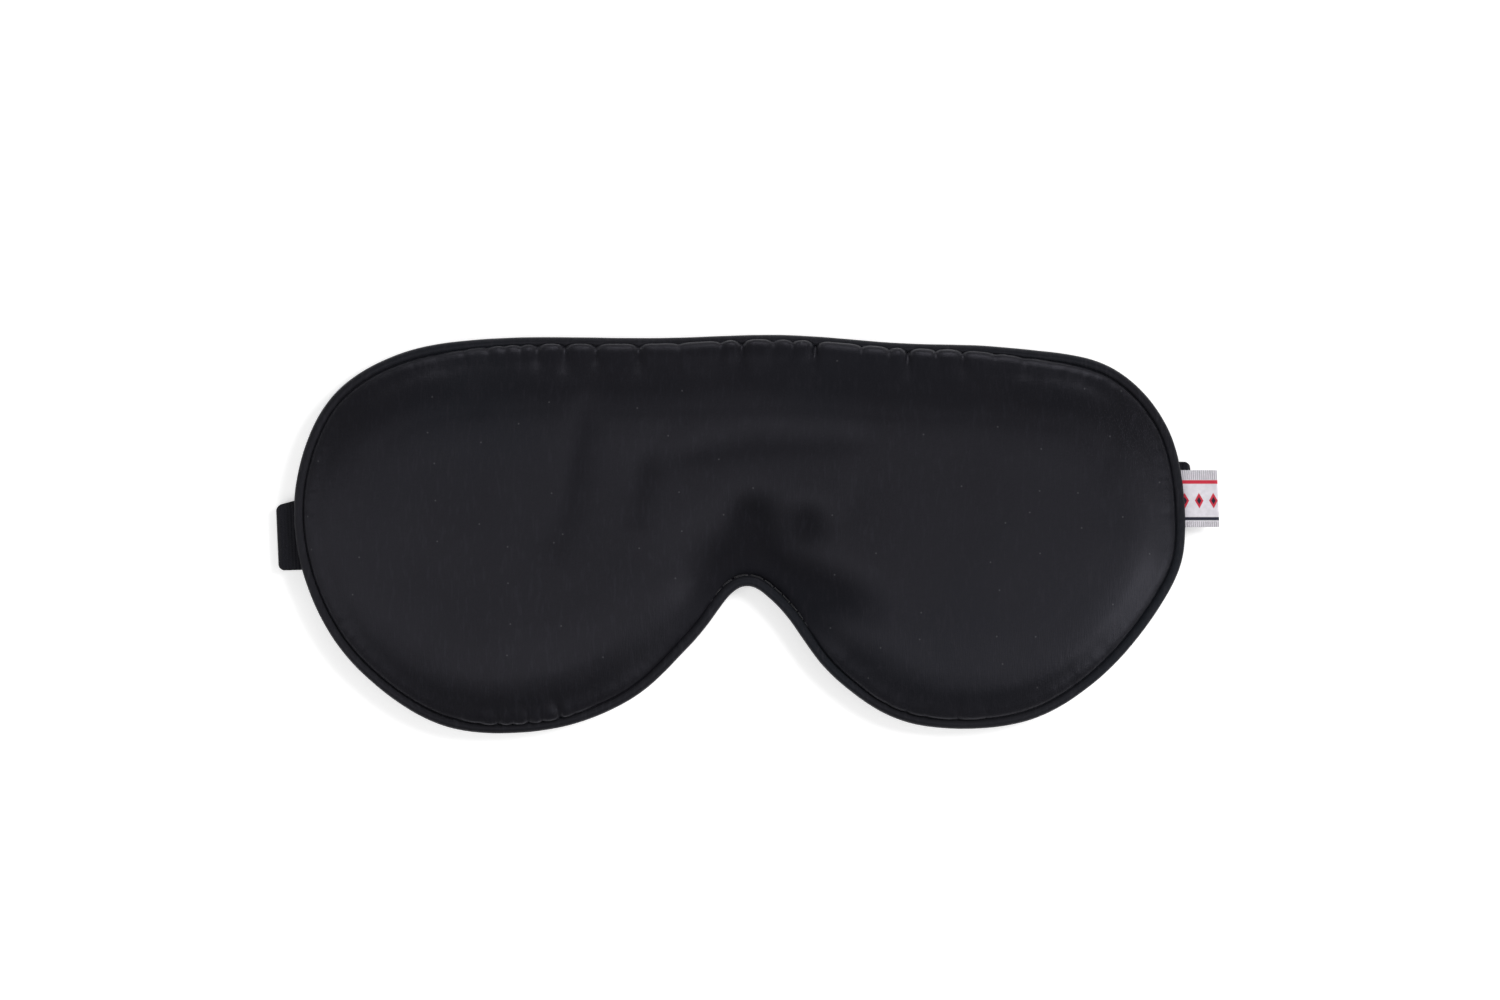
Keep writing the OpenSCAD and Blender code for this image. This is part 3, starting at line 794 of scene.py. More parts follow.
def front_shape(sizes):
    """Points and triangles of the front panel before its cloth is relaxed, how far each point is from the
    edge, and how far it's drawn in."""
    start = FRONT_INSETS[0]
    points, faces, count = panel_grid(FRONT_INSETS, sizes.grid_step)
    inset, station = from_edge(points)
    inset[:count] = start
    past_seam = inset - start
    heights = cad_heights(points, "front_panel", 1)
    # Up from the seam, the satin bulges to the CAD panel's height
    bulge = SEAM_Z + SEAM_RISE + 3.2 * np.sqrt(np.clip(past_seam / 3.4, 0, 1)) * (1 - 0.05 * inset)
    heights = np.where(np.isnan(heights), bulge, heights)
    share = ease((inset - 4.2) / 3.5)
    heights = np.where(inset < 8.5, bulge * (1 - share) + heights * share, heights)
    # The average profile and what differs from it are evened out apart, which leaves no ripples by the edge
    share = 0.6 * ease((inset - 3.4) / 3)
    difference = heights - profile(heights, inset)
    heights = profile(relax(heights, faces, share, 60), inset) + relax(difference, faces, share, 60)
    sunk = front_features(points)
    heights -= sunk
    # It stays clear of the lining and of the strap that is sewn in below
    low = SEAM_Z + SEAM_RISE + 0.6 * ease(past_seam / 4)
    clear = low + CLEAR_SOFTNESS * np.logaddexp(0, (heights - low) / CLEAR_SOFTNESS)
    heights += (clear - heights) * ease((inset - 2.6) / 1.5)
    found = gathers(seed=7, depth=0.10, spacing=9.0) + lip_gathers(seed=11)
    depth = gather_depth(inset, station, found, start)
    heights -= sizes.gather_depth * depth * ease(past_seam / 0.5)
    # The edge swells out a little towards the piping, and along the brow it makes a lip over it
    lip = lip_strength(points, station)
    insets, out, up = np.transpose(LIP_SHAPE)
    heights += lip * np.interp(inset, insets, up)
    swell = lip * np.interp(inset, insets, out) + 0.2 * (1 - lip) * np.exp(-((inset - 2.9) / 0.7) ** 2)
    points = points - inward_at(station) * swell[:, None]
    drawn_in = 1 - np.exp(-np.maximum(sunk, 0) / DRAWN_IN_SCALE)
    return np.column_stack([points, heights]), faces, inset, drawn_in


# How the satin behaves while it settles over the stuffing, and for how many steps it does
SATIN_CLOTH = {
    "quality": 5, "mass": 0.15, "tension_stiffness": 20, "compression_stiffness": 20, "shear_stiffness": 8,
    "bending_stiffness": 0.3, "tension_damping": 8, "compression_damping": 8, "shear_damping": 8,
    "air_damping": 2, "vertex_group_mass": "pinned", "pin_stiffness": 0.3, "use_pressure": True,
}
SETTLE_STEPS = 20
# The cloth settles at this many times its size, because the solver is made for larger things
SETTLE_SCALE = 10
# The furthest that a point may move, in millimetres
SETTLE_REACH = 1.2


def settle(points, faces, pinned, pressure):
    """Lets a panel's cloth relax over its stuffing, and returns where its points come to rest. pinned is how
    firmly each point is held, from 0 to 1."""
    scale = SETTLE_SCALE * MM
    mesh = bpy.data.meshes.new("settling")
    mesh.from_pydata([tuple(p) for p in points * scale], [], [tuple(f) for f in faces])
    obj = add_object("settling", mesh)
    group = obj.vertex_groups.new(name="pinned")
    for i, weight in enumerate(pinned):
        group.add([i], float(weight), "REPLACE")
    cloth = obj.modifiers.new("cloth", "CLOTH")
    for key, value in SATIN_CLOTH.items():
        setattr(cloth.settings, key, value)
    cloth.settings.uniform_pressure_force = pressure
    cloth.settings.effector_weights.gravity = 0.0
    cloth.collision_settings.use_collision = False
    cloth.point_cache.frame_start = 1
    cloth.point_cache.frame_end = SETTLE_STEPS
    scene = bpy.context.scene
    for step in range(1, SETTLE_STEPS + 1):
        scene.frame_set(step)
    settled = obj.evaluated_get(bpy.context.evaluated_depsgraph_get()).data
    moved = np.array([v.co for v in settled.vertices]) / scale - points
    scene.frame_set(1)
    bpy.data.objects.remove(obj)
    if not np.isfinite(moved).all():
        raise RuntimeError("the cloth came apart")
    # Neighbouring points move alike, which leaves folds but no roughness as fine as the mesh
    free = 0.6 * (pinned < 1)
    moved = np.column_stack([relax(part, faces, free, 6) for part in moved.T])
    distance = np.linalg.norm(moved, axis=1)
    share = np.minimum(1, SETTLE_REACH / np.maximum(distance, 1e-9))
    return points + moved * share[:, None]


class SLEEPMASK_OT_front(Build):
    """Builds the satin front panel, padded and gathered along the seam"""
    bl_idname = "sleep_mask.front_panel"
    bl_label = "Front panel"

    def execute(self, context):
        sizes, colours = context.scene.mask_sizes, context.scene.mask_colours
        points, faces, inset, drawn_in = front_shape(sizes)
        pinned = np.where(inset < FRONT_INSETS[2], 1.0, 0.2 + 0.2 * ease((inset - 6) / 8))
        points = settle(points, faces, pinned, sizes.pressure)
        obj = make_mesh("front_satin", points, faces, {"drawn_in": drawn_in})
        dress(obj, satin("front_satin", tuple(colours.satin), 0.38, 0.42))
        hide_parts("front_panel")
        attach(obj, "mask")
        return {"FINISHED"}


BACK_INSETS = [2.30, 2.45, 2.7, 3.05, 3.6, 4.3, 5.1]


def strap_places(points):
    """Points of the frame as (along, across from the strap's middle)."""
    return np.column_stack([points @ ALONG, points @ ACROSS - STRAP_MIDDLE])


def back_shape(sizes):
    """Points and triangles of the back panel: a belly with a channel for the strap."""
    points, faces, _ = panel_grid(BACK_INSETS, 1.15 * sizes.grid_step)
    inset, station = from_edge(points)
    reach = points + np.maximum(BACK_INSETS[3] + 0.4 - inset, 0)[:, None] * inward_at(station)
    heights = cad_heights(reach, "back_panel", -1)
    if np.isnan(heights).any():
        raise RuntimeError("the back panel has a hole")
    heights = relax(heights, faces, 0.6 * ease((inset - 3.2) / 3), 50)
    heights += 0.25 * ease((BACK_INSETS[3] - inset) / 0.75) * ease((heights - 3.6) / 0.8)
    places = strap_places(points)
    clear_of_strap = ease((np.abs(places[:, 1]) - STRAP_W / 2 - 2) / 3)
    middle_part = (places[:, 0] > SPAN_LOW[0] + 12) & (places[:, 0] < TAB_HIGH[0] - 12)
    depth = gather_depth(inset, station, gathers(seed=19, depth=0.42, spacing=5.2), BACK_INSETS[0])
    heights += 0.75 * depth * np.maximum(clear_of_strap, middle_part) * ease((inset - 2.3) / 0.5)
    rng = np.random.default_rng(23)
    waves, count = np.zeros(len(points)), 9
    for _ in range(count):
        angle, size = rng.uniform(-0.35, 0.35), rng.uniform(9, 20)
        way = heading(angle)
        waves += np.sin(2 * math.pi * (points @ way) / size + rng.uniform(0, 6)) / count
    slack = ease((heights - 0.4) / 1.5) * clear_of_strap * ease((inset - 3) / 4)
    heights += 0.5 * waves * slack
    return np.column_stack([points, np.maximum(heights, 0)]), faces[:, ::-1]


class SLEEPMASK_OT_back(Build):
    """Builds the satin back panel, which lies against the face"""
    bl_idname = "sleep_mask.back_panel"
    bl_label = "Back panel"

    def execute(self, context):
        points, faces = back_shape(context.scene.mask_sizes)
        obj = make_mesh("back_satin", points, faces)
        dress(obj, satin("back_satin", tuple(context.scene.mask_colours.satin), 0.38, 0.2))
        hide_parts("back_panel")
        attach(obj, "mask")
        return {"FINISHED"}


# ---- what lies between the panels ----

def built_surface(name):
    """The surface of a piece that is already built, in millimetres."""
    mesh = bpy.data.objects[name].data
    return BVHTree.FromPolygons([tuple(np.array(v.co) / MM) for v in mesh.vertices],
                                [list(p.vertices) for p in mesh.polygons])


def nearest_level(surface, points, way, radius):
    """The lowest level within radius of a surface above each point, or with way -1 the highest of one
    below."""
    ring = [(0, 0)] + [tuple(radius * heading(a)) for a in np.linspace(0, 5.5, 7)]
    pick = min if way > 0 else max
    levels = []
    for x, y in points:
        found = [level_at(surface, x + dx, y + dy, way) for dx, dy in ring]
        levels.append(pick(level for level in found if level is not None))
    return np.array(levels)


def closed_layer(name, grid, top, bottom):
    """A closed body over a flat grid, between two arrays of heights."""
    points, faces, count = grid
    total = len(points)
    both = np.vstack([np.column_stack([points, top]), np.column_stack([points, bottom])])
    turned = [[total + i for i in f[::-1]] for f in faces]
    walls = [[total + i, total + (i + 1) % count, (i + 1) % count, i] for i in range(count)]
    return make_mesh(name, both, list(faces) + turned + walls)


def finish(node, material):
    """Gives a CAD node that stays a material."""
    for slot in frame["nodes"][node].material_slots:
        slot.material = material


# How far in from the mask's edge the two outer loops of the lining and of the wadding are
LINING_INSETS, WADDING_INSETS = [4.4, 5.4], [6.4, 7.6]
# How far the lining lies below the front panel and above the back panel at least, and how thick it is
LINING_BELOW, LINING_ABOVE, LINING_T = 0.45, 0.9, 0.4
# The same of the wadding, which has this thickness at least
WADDING_BELOW, WADDING_ABOVE, WADDING_T = 1.2, 0.35, 0.4


class SLEEPMASK_OT_inside(Build):
    """Builds the blackout lining and the wadding between the panels"""
    bl_idname = "sleep_mask.inside"
    bl_label = "Lining and filling"

    def execute(self, context):
        colours = context.scene.mask_colours
        front, back = built_surface("front_satin"), built_surface("back_satin")
        grid = panel_grid(LINING_INSETS, 2.6, 3)
        under = nearest_level(front, grid[0], 1, 0.9) - LINING_BELOW
        floor = nearest_level(back, grid[0], -1, 0.9)
        top = np.maximum(under, floor + LINING_ABOVE)
        lining = closed_layer("lining_sheet", grid, top, top - LINING_T)
        dress(lining, lining_cloth("lining", tuple(colours.lining)))
        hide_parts("blackout_lining")
        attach(lining, "mask")
        grid = panel_grid(WADDING_INSETS, 3.2, 4)
        over = nearest_level(front, grid[0], 1, 1.4) - WADDING_BELOW
        below = nearest_level(back, grid[0], -1, 1.4) + WADDING_ABOVE
        wad = closed_layer("wadding", grid, np.maximum(over, below + WADDING_T), below)
        dress(wad, wadding("wadding", tuple(colours.wadding)))
        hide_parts("filling")
        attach(wad, "mask")
        finish("piping_cord", wadding("piping_cord", tuple(colours.wadding), 1500.0))
        return {"FINISHED"}


# The slanting pleats that the bias strip takes round its cord
PLEAT_STEP, PLEAT_DEPTH = 2.6, 0.035


class SLEEPMASK_OT_piping(Build):
    """Builds the corded satin roll round the edge"""
    bl_idname = "sleep_mask.piping"
    bl_label = "Piping"

    def execute(self, context):
        colours = context.scene.mask_colours
        radius = ROLL_D / 2
        turn = full_turn(20)
        at = np.arange(len(EDGE)) * EDGE_STEP
        rng = np.random.default_rng(3)
        wave = sum(rng.uniform(0.3, 1) * np.sin(2 * math.pi * at / EDGE_LENGTH * k + rng.uniform(0, 6))
                   for k in (9, 14, 23, 37, 61)) / 5
        sections = []
        for i, place in enumerate(EDGE):
            slant = np.sin(2 * math.pi * at[i] / PLEAT_STEP + 2.0 * turn) * np.maximum(0, np.sin(turn))
            r = radius * (1 + 0.03 * wave[i]) + PLEAT_DEPTH * slant
            inset = radius - r * np.cos(turn)
            height = SEAM_Z + r * np.sin(turn)
            flat = place + inset[:, None] * EDGE_INWARD[i]
            sections.append(np.column_stack([flat, height]))
        points, faces = tube(EDGE, sections, closed=True)
        obj = make_mesh("piping_roll", points, faces)
        dress(obj, satin("piping_satin", tuple(colours.piping), 0.5, sheen=0.18))
        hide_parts("piping_cover")
        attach(obj, "mask")
        return {"FINISHED"}


# ---- straps ----

def straight(start, end, step=0.8):
    """Points from start up to but not including end."""
    start, end = np.array(start, float), np.array(end, float)
    count = max(1, int(round(np.linalg.norm(end - start) / step)))
    return start + (end - start) * np.arange(count)[:, None] / count


def bend(middle, radius, start, end, count=14):
    """Points on an arc. The angles are in degrees, from the strap's direction towards up."""
    angle = np.radians(np.linspace(start, end, count))
    return np.array(middle) + radius * np.column_stack([np.cos(angle), np.sin(angle)])


def slope(start, end, count=14):
    """Points on an S from one height to another, without its two ends."""
    t = np.linspace(0, 1, count)[1:-1]
    start, end = np.array(start, float), np.array(end, float)
    return np.column_stack([start[0] + (end[0] - start[0]) * t, start[1] + (end[1] - start[1]) * ease(t)])


def band(path, width, thickness, middle, narrow=None, sides=12):
    """A flat band with round edges along a path of (along, up). narrow is how much its lower and upper edge
    draw in at each point. Returns points, faces, and how far along and across each point is."""
    path = np.asarray(path, float)
    ahead = unit(np.gradient(path, axis=0))
    up = np.column_stack([-ahead[:, 1], ahead[:, 0]])
    length = run_length(path)
    half = thickness / 2
    edge = width / 2 - half
    row = np.linspace(-1, 1, sides)
    turn = np.radians([60, 30, 0, -30, -60])
    across = np.concatenate([row, 1 + 0 * turn, row[::-1], -1 + 0 * turn])
    beyond = np.concatenate([0 * row, half * np.cos(turn), 0 * row, -half * np.cos(turn)])
    height = np.concatenate([half + 0 * row, half * np.sin(turn), -half + 0 * row, -half * np.sin(turn)])
    drawn = np.zeros((len(path), 2)) if narrow is None else narrow
    sections, alongs, acrosses = [], [], []
    for i, place in enumerate(path):
        a = across * edge + beyond
        a = a + np.clip(-across, 0, 1) * drawn[i, 0] - np.clip(across, 0, 1) * drawn[i, 1]
        along = place[0] + up[i, 0] * height
        z = place[1] + up[i, 1] * height
        sections.append(strap_to_frame(along, middle + a, z))
        alongs.append(np.full(len(a), length[i]))
        acrosses.append(a)
    points, faces = tube(path, sections)
    return points, faces, np.concatenate(alongs), np.concatenate(acrosses)


def fold_corners(path, outer, low, high, radius=1.1, run=5):
    """How much the edges draw in near a fold that ends at outer, which rounds its corners. Over the last run
    towards the fold, the lower edge slants in by low, and the upper edge by high."""
    distance = np.abs(path[:, 0] - outer)
    near = np.clip(radius - distance, 0, radius)
    corner = radius - np.sqrt(radius**2 - near**2)
    slant = np.clip(1 - distance / run, 0, 1)
    return np.column_stack([corner + low * slant, corner + high * slant])


def strap_point(along, up=0.0):
    """A place on the strap's middle line, in metres."""
    return tuple(strap_to_frame(along, STRAP_MIDDLE, up) * MM)


def strap_piece(name, path, material, narrow=None):
    """A piece of the elastic along a path of (along, up)."""
    points, faces, along, across = band(path, STRAP_W, STRAP_T, STRAP_MIDDLE, narrow)
    obj = make_mesh(name, points, faces, {"along": along, "across": across})
    return dress(obj, material)


class SLEEPMASK_OT_straps(Build):
    """Builds the elastic: the long band, its return through the slider, and the short tab"""
    bl_idname = "sleep_mask.straps"
    bl_label = "Straps"

    def execute(self, context):
        material = elastic("elastic", tuple(context.scene.mask_colours.elastic))
        fold_r = (SEWN_Z - MAIN_Z) / 2
        fold_z = (SEWN_Z + MAIN_Z) / 2
        bar_left, bar_right = RING_LOW[0] + BAR_T / 2, RING_HIGH[0] - BAR_T / 2
        # From the left seam, out and back in, along under the mask, round the ring's bar and back
        outer = LEFT_END_LOW[0] + STRAP_T / 2
        parting = RETURN_HIGH[0]
        path = np.vstack([
            straight((SPAN_LOW[0], SEWN_Z), (outer + fold_r, SEWN_Z)),
            bend((outer + fold_r, fold_z), fold_r, 90, 270),
            straight((outer + fold_r, MAIN_Z), (parting, MAIN_Z))[1:],
            slope((parting, MAIN_Z), (bar_left, RING_Z - WRAP_R)),
            bend((bar_left, RING_Z), WRAP_R, -80, 80),
            slope((bar_left, RING_Z + WRAP_R), (parting + 1, RETURN_Z)),
            [(parting + 1, RETURN_Z), (parting, RETURN_Z)],
        ])
        long_band = strap_piece("elastic_band", path, material, fold_corners(path, outer, 0.1, 1.1))
        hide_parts("strap_end_left", "strap_span_left", "strap_band")
        strap_point(SPAN_LOW[0])
        strap_point(SPAN_HIGH[0])
        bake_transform(long_band)
        # The return layer, from where it parts from the band to its end, at the slider's rest place
        return_end = (RETURN_LOW[0], RETURN_Z)
        path = np.vstack([straight((parting, RETURN_Z), return_end), [return_end]])
        layer = strap_piece("elastic_return", path, material)
        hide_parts("strap_return")
        strap_point(parting)
        strap_point(RETURN_LOW[0])
        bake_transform(layer)
        # Its end, sewn round the slider's bar
        bar = LOOP_LOW[0] + WRAP_R + STRAP_T / 2
        bar_z = LOOP_HIGH[2] - WRAP_R - STRAP_T / 2
        end_z = end_height("strap_loop", LOOP_HIGH[0])
        tack_low, tack_high = strap_box("slider_tack")
        lap = tack_low[0] + tack_high[0] - LOOP_HIGH[0]
        path = np.vstack([
            straight(return_end, (bar, RETURN_Z)),
            bend((bar, bar_z), WRAP_R, 270, 90),
            slope((bar, bar_z + WRAP_R), (lap, end_z)),
            straight((lap, end_z), (LOOP_HIGH[0], end_z)),
            [(LOOP_HIGH[0], end_z)],
        ])
        loop = strap_piece("elastic_loop", path, material)
        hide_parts("strap_loop")
        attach(loop, "slider")
        # The short tab, from the right seam to the ring's other bar
        outer = RIGHT_END_HIGH[0] - STRAP_T / 2
        inner_layer = node_points("tab_loop")
        inner_layer = inner_layer[inner_layer[:, 2] > SPAN_HIGH[2] + 0.05]
        lap_end = (inner_layer[:, :2] @ ALONG).max()
        tab_tack_low, tab_tack_high = strap_box("tab_tack")
        lap_start = tab_tack_low[0] + tab_tack_high[0] - lap_end
        path = np.vstack([
            straight((TAB_HIGH[0], SEWN_Z), (outer - fold_r, SEWN_Z)),
            bend((outer - fold_r, fold_z), fold_r, 90, -90),
            straight((outer - fold_r, MAIN_Z), (lap_start, MAIN_Z))[1:],
            slope((lap_start, MAIN_Z), (bar_right, RING_Z - WRAP_R)),
            bend((bar_right, RING_Z), WRAP_R, 260, 100),
            slope((bar_right, RING_Z + WRAP_R), (lap_start, RETURN_Z)),
            straight((lap_start, RETURN_Z), (lap_end, RETURN_Z)),
            [(lap_end, RETURN_Z)],
        ])
        tab = strap_piece("elastic_tab", path, material, fold_corners(path, outer, 1.4, 0.2))
        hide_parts("tab_end_right", "tab_span", "tab_loop")
        strap_point(TAB_HIGH[0])
        strap_point(TAB_LOW[0])
        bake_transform(tab)
        return {"FINISHED"}


# ---- slider and ring ----

def rounded_copy(node, name, radius):
    """A copy of a CAD node with its sharp edges rounded. radius is in millimetres."""
    mesh = bmesh.new()
    mesh.from_mesh(frame["nodes"][node].data)
    bmesh.ops.remove_doubles(mesh, verts=mesh.verts, dist=1e-6)
    bmesh.ops.dissolve_limit(mesh, angle_limit=math.radians(1), verts=mesh.verts, edges=mesh.edges)
    sharp_angle = math.radians(40)
    sharp = [e for e in mesh.edges if e.is_manifold and e.calc_face_angle(0) > sharp_angle]
    bmesh.ops.bevel(mesh, geom=sharp, offset=radius * MM, segments=3, profile=0.5, affect="EDGES",
                    clamp_overlap=True)
    data = bpy.data.meshes.new(name)
    mesh.to_mesh(data)
    mesh.free()
    data.polygons.foreach_set("use_smooth", [True] * len(data.polygons))
    data.set_sharp_from_angle(angle=sharp_angle)
    return add_object(name, data)


def rounded_rectangle(half_along, half_across, radius, count=8):
    """Points of (along, across) round a rectangle with round corners."""
    points = []
    for k, (x, y) in enumerate([(1, 1), (-1, 1), (-1, -1), (1, -1)]):
        angle = np.radians(np.linspace(90 * k, 90 * k + 90, count))
        middle = np.array([x * (half_along - radius), y * (half_across - radius)])
        points.append(middle + radius * np.column_stack([np.cos(angle), np.sin(angle)]))
    return np.vstack(points)


SLIDER_ROUNDING = 0.16


class SLEEPMASK_OT_hardware(Build):
    """Builds the moulded slider and the ring"""
    bl_idname = "sleep_mask.hardware"
    bl_label = "Slider and ring"

    def execute(self, context):
        material = moulded_plastic("plastic", tuple(context.scene.mask_colours.plastic))
        slider = rounded_copy("slider", "slider_moulded", SLIDER_ROUNDING)
        dress(slider, material)
        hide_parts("slider")
        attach(slider, "slider")
        middle = (RING_LOW + RING_HIGH) / 2
        half = (RING_HIGH - RING_LOW) / 2 - BAR_T / 2
        corner = half[1] - STRAP_W / 2
        path = rounded_rectangle(half[0], half[1], corner)
        ahead = unit(np.roll(path, -1, axis=0) - np.roll(path, 1, axis=0))
        out = np.column_stack([ahead[:, 1], -ahead[:, 0]])
        turn = full_turn(16)
        sections = []
        for place, way in zip(path, out):
            flat = place + np.cos(turn)[:, None] * BAR_T / 2 * way
            sections.append(strap_to_frame(middle[0] + flat[:, 0], middle[1] + flat[:, 1],
                                           middle[2] + np.sin(turn) * BAR_T / 2))
        ring = make_mesh("ring_moulded", *tube(path, sections, closed=True))
        dress(ring, material)
        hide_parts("ring")
        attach(ring, "strap")
        return {"FINISHED"}


# ---- stitches ----

def zigzag(node, above, corners=13, radius=0.12, sunk=0.05, arch=0.07):
    """Points and faces of one zigzag row where a CAD tack is. above is 1 on top of a strap, -1 beneath it.
    Each stitch sinks into the elastic at its ends and arches over it between them."""
    low, high = strap_box(node)
    ends = np.arange(corners)
    t = np.linspace(0, corners - 1, 6 * (corners - 1) + 1)
    along = np.interp(t, ends, np.where(ends % 2, low[0], high[0]))
    across = np.interp(t, ends, np.linspace(low[1], high[1], corners))
    surface = low[2] if above > 0 else high[2]
    up = surface + above * (arch * np.abs(np.sin(math.pi * t)) - sunk)
    return thread_tube(strap_to_frame(along, across, up), radius)


# How long one stitch of the seam is, how it rises and dips along the thread, and what share of it shows
SEAM_STITCH = 2.5
STITCH_RISE = [-0.25, 0, 0.04, 0.04, 0, -0.25]
STITCH_SHOWS = (0.08, 0.92)


class SLEEPMASK_OT_stitches(Build):
    """Builds the seam's stitches and the zigzag rows on the elastic"""
    bl_idname = "sleep_mask.stitches"
    bl_label = "Stitches"

    def execute(self, context):
        material = sewing_thread("thread", tuple(context.scene.mask_colours.thread))
        low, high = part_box("seam_thread")
        radius = (high[2] - low[2]) / MM / 2
        level = low[2] / MM + radius
        inset = abs(PIPING_LOW[0] - low[0] / MM) + radius
        count = int(EDGE_LENGTH / SEAM_STITCH)
        fine = len(EDGE_FINE)
        normals = inward_normals(EDGE_FINE)
        parts = []
        for k in range(count):
            first = k * fine / count
            shown = np.linspace(*STITCH_SHOWS, len(STITCH_RISE))
            at = (first + shown * fine / count).astype(int) % fine
            flat = EDGE_FINE[at] + inset * normals[at]
            parts.append(thread_tube(np.column_stack([flat, level + np.array(STITCH_RISE)]), radius, 6))
        seam = make_mesh("seam_stitches", *join_parts(parts))
        dress(seam, material)
        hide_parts("seam_thread")
        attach(seam, "mask")
        for node, above, body in (("slider_tack", 1, "slider"), ("tab_tack", -1, "strap")):
            row = make_mesh(node + "_stitches", *zigzag(node, above))
            dress(row, material)
            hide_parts(node)
            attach(row, body)
        for node in ("seam_tack_left", "seam_tack_right"):
            finish(node, material)
        return {"FINISHED"}


# ---- label ----

class SLEEPMASK_OT_label(Build):
    """Builds the woven ribbon label, folded in two and sewn into the right seam"""
    bl_idname = "sleep_mask.label"
    bl_label = "Label"

    def execute(self, context):
        colours = context.scene.mask_colours
        width = LABEL_HIGH[1] - LABEL_LOW[1]
        middle = (LABEL_HIGH[1] + LABEL_LOW[1]) / 2
        level = (SEWN_LABEL_LOW[2] + SEWN_LABEL_HIGH[2]) / 2
        layer = (SEWN_LABEL_HIGH[2] - SEWN_LABEL_LOW[2]) / 2
        start, tip = SEWN_LABEL_LOW[0], LABEL_HIGH[0]
        thickness = 0.85 * layer
        apart = layer / 2 + 0.02
        fold = 1.5 * layer
        # Both layers lie flat up to where they part, and the fold is a round turn
        parting, turn = tip - 8 * fold, tip - fold - thickness / 2
        path = np.vstack([
            straight((start, level + apart), (parting, level + apart), 0.4),
            slope((parting, level + apart), (turn, level + fold), 8),
            bend((turn, level), fold, 90, -90, 9),
            slope((turn, level - fold), (parting, level - apart), 8),
            straight((parting, level - apart), (start, level - apart), 0.4),
            [(start, level - apart)],
        ])
        points, faces, _, across = band(path, width, thickness, middle, sides=28)
        along = (points[:, :2] @ ALONG) - LABEL_LOW[0]
        # Its lines run along X, while its ends stay square to the strap
        points[:, :2] -= np.multiply.outer(along * ALONG[1], ACROSS)
        obj = make_mesh("label_ribbon", points, faces, {"along": along, "across": across / (width / 2)})
        material = woven_label("label_ribbon", tuple(colours.white), tuple(colours.red), tuple(colours.navy))
        dress(obj, material)
        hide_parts("label", "label_seam_end")
        hinge_along = float(np.array(joint("label_flap")["pos_m"][:2]) @ ALONG) / MM
        strap_point(hinge_along - 0.4, level)
        strap_point(hinge_along + 0.6, level)
        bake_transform(obj)
        return {"FINISHED"}


# ---- stage ----

class SLEEPMASK_OT_stage(Build):
    """Sets the pale floor, the soft lights and the camera straight above"""
    bl_idname = "sleep_mask.stage"
    bl_label = "Stage"

    def execute(self, context):
        stage = context.scene.mask_stage
        floor = make_mesh("floor", np.array([[-1, -1, 0], [1, -1, 0], [1, 1, 0], [-1, 1, 0]]) * 1500.0
                          - [0, 0, 0.15], [[0, 1, 2, 3]], smooth=False)
        floor.data.materials.append(floor_material(tuple(stage.floor)))
        context.scene.world = studio_world(stage.ambient)
        area_light("key", (0.8, 0.4, 0.95), 0.5, stage.key).visible_glossy = False
        area_light("fill", (-0.5, -0.4, 1.0), 0.9, stage.fill).visible_glossy = False
        # Two low softboxes that only show as a sheen on the satin
        area_light("right_sheen", (0.28, -0.13, 0.18), 0.15, stage.right_sheen).visible_diffuse = False
        area_light("left_sheen", (-0.5, -0.1, 0.45), 0.45, stage.left_sheen).visible_diffuse = False
        camera_above(stage.view_width)
        context.scene.view_settings.view_transform = "Standard"
        return {"FINISHED"}


WHITE = (1, 1, 1, 1)
# The soft panels overhead that the satin mirrors. Each has its middle and its half sizes along X and Y, as
# they are at a height of 1, and a strength.
PANELS = [
    ((1.2, -0.2), (1.0, 0.8), 1.45),
    ((-0.05, -0.2), (0.7, 0.5), 0.76),
    ((0.3, 1.9), (1.2, 0.9), 3.6),
]
# How bright the rest of the room is, where the panels begin above the horizon, and how much the floor glows
SURROUND = 0.2
HORIZON = 0.02
FLOOR_GLOW = 0.45


def studio_world(strength):
    """Soft panels above in a dim surround, and plain white to the camera."""
    world = bpy.data.worlds.new("studio")
    w = Tree(world)
    place = w.add("ShaderNodeTexCoord").outputs["Generated"]
    height = w.made("ShaderNodeSeparateXYZ", [place]).outputs["Z"]
    above = w.maths("GREATER_THAN", height, HORIZON)
    shrink = w.maths("DIVIDE", 1.0, w.maths("MAXIMUM", height, HORIZON))
    ceiling = w.add("ShaderNodeVectorMath", operation="SCALE")
    w.fill(ceiling, ((0, place), ("Scale", shrink)))
    total = SURROUND * strength
    for (x, y), (half_x, half_y), peak in PANELS:
        offset = w.vectors("SUBTRACT", ceiling.outputs[0], (x, y, 0)).outputs[0]
        shares = w.vectors("MULTIPLY", offset, (1 / half_x, 1 / half_y, 0)).outputs[0]
        reach = w.vectors("LENGTH", shares).outputs["Value"]
        glow = w.maths("MULTIPLY", w.between(reach, 0.1, 1.0, peak * strength, 0.0), above)
        total = w.maths("ADD", glow, total)
    lit = w.tree.nodes["Background"]
    w.fill(lit, (("Color", WHITE), ("Strength", total)))
    to_camera = w.add("ShaderNodeLightPath").outputs["Is Camera Ray"]
    plain = w.shader_of("ShaderNodeBackground", WHITE)
    choice = w.shader_of("ShaderNodeMixShader", to_camera, lit.outputs[0], plain)
    w.fill(w.tree.nodes["World Output"], [("Surface", choice)])
    return world


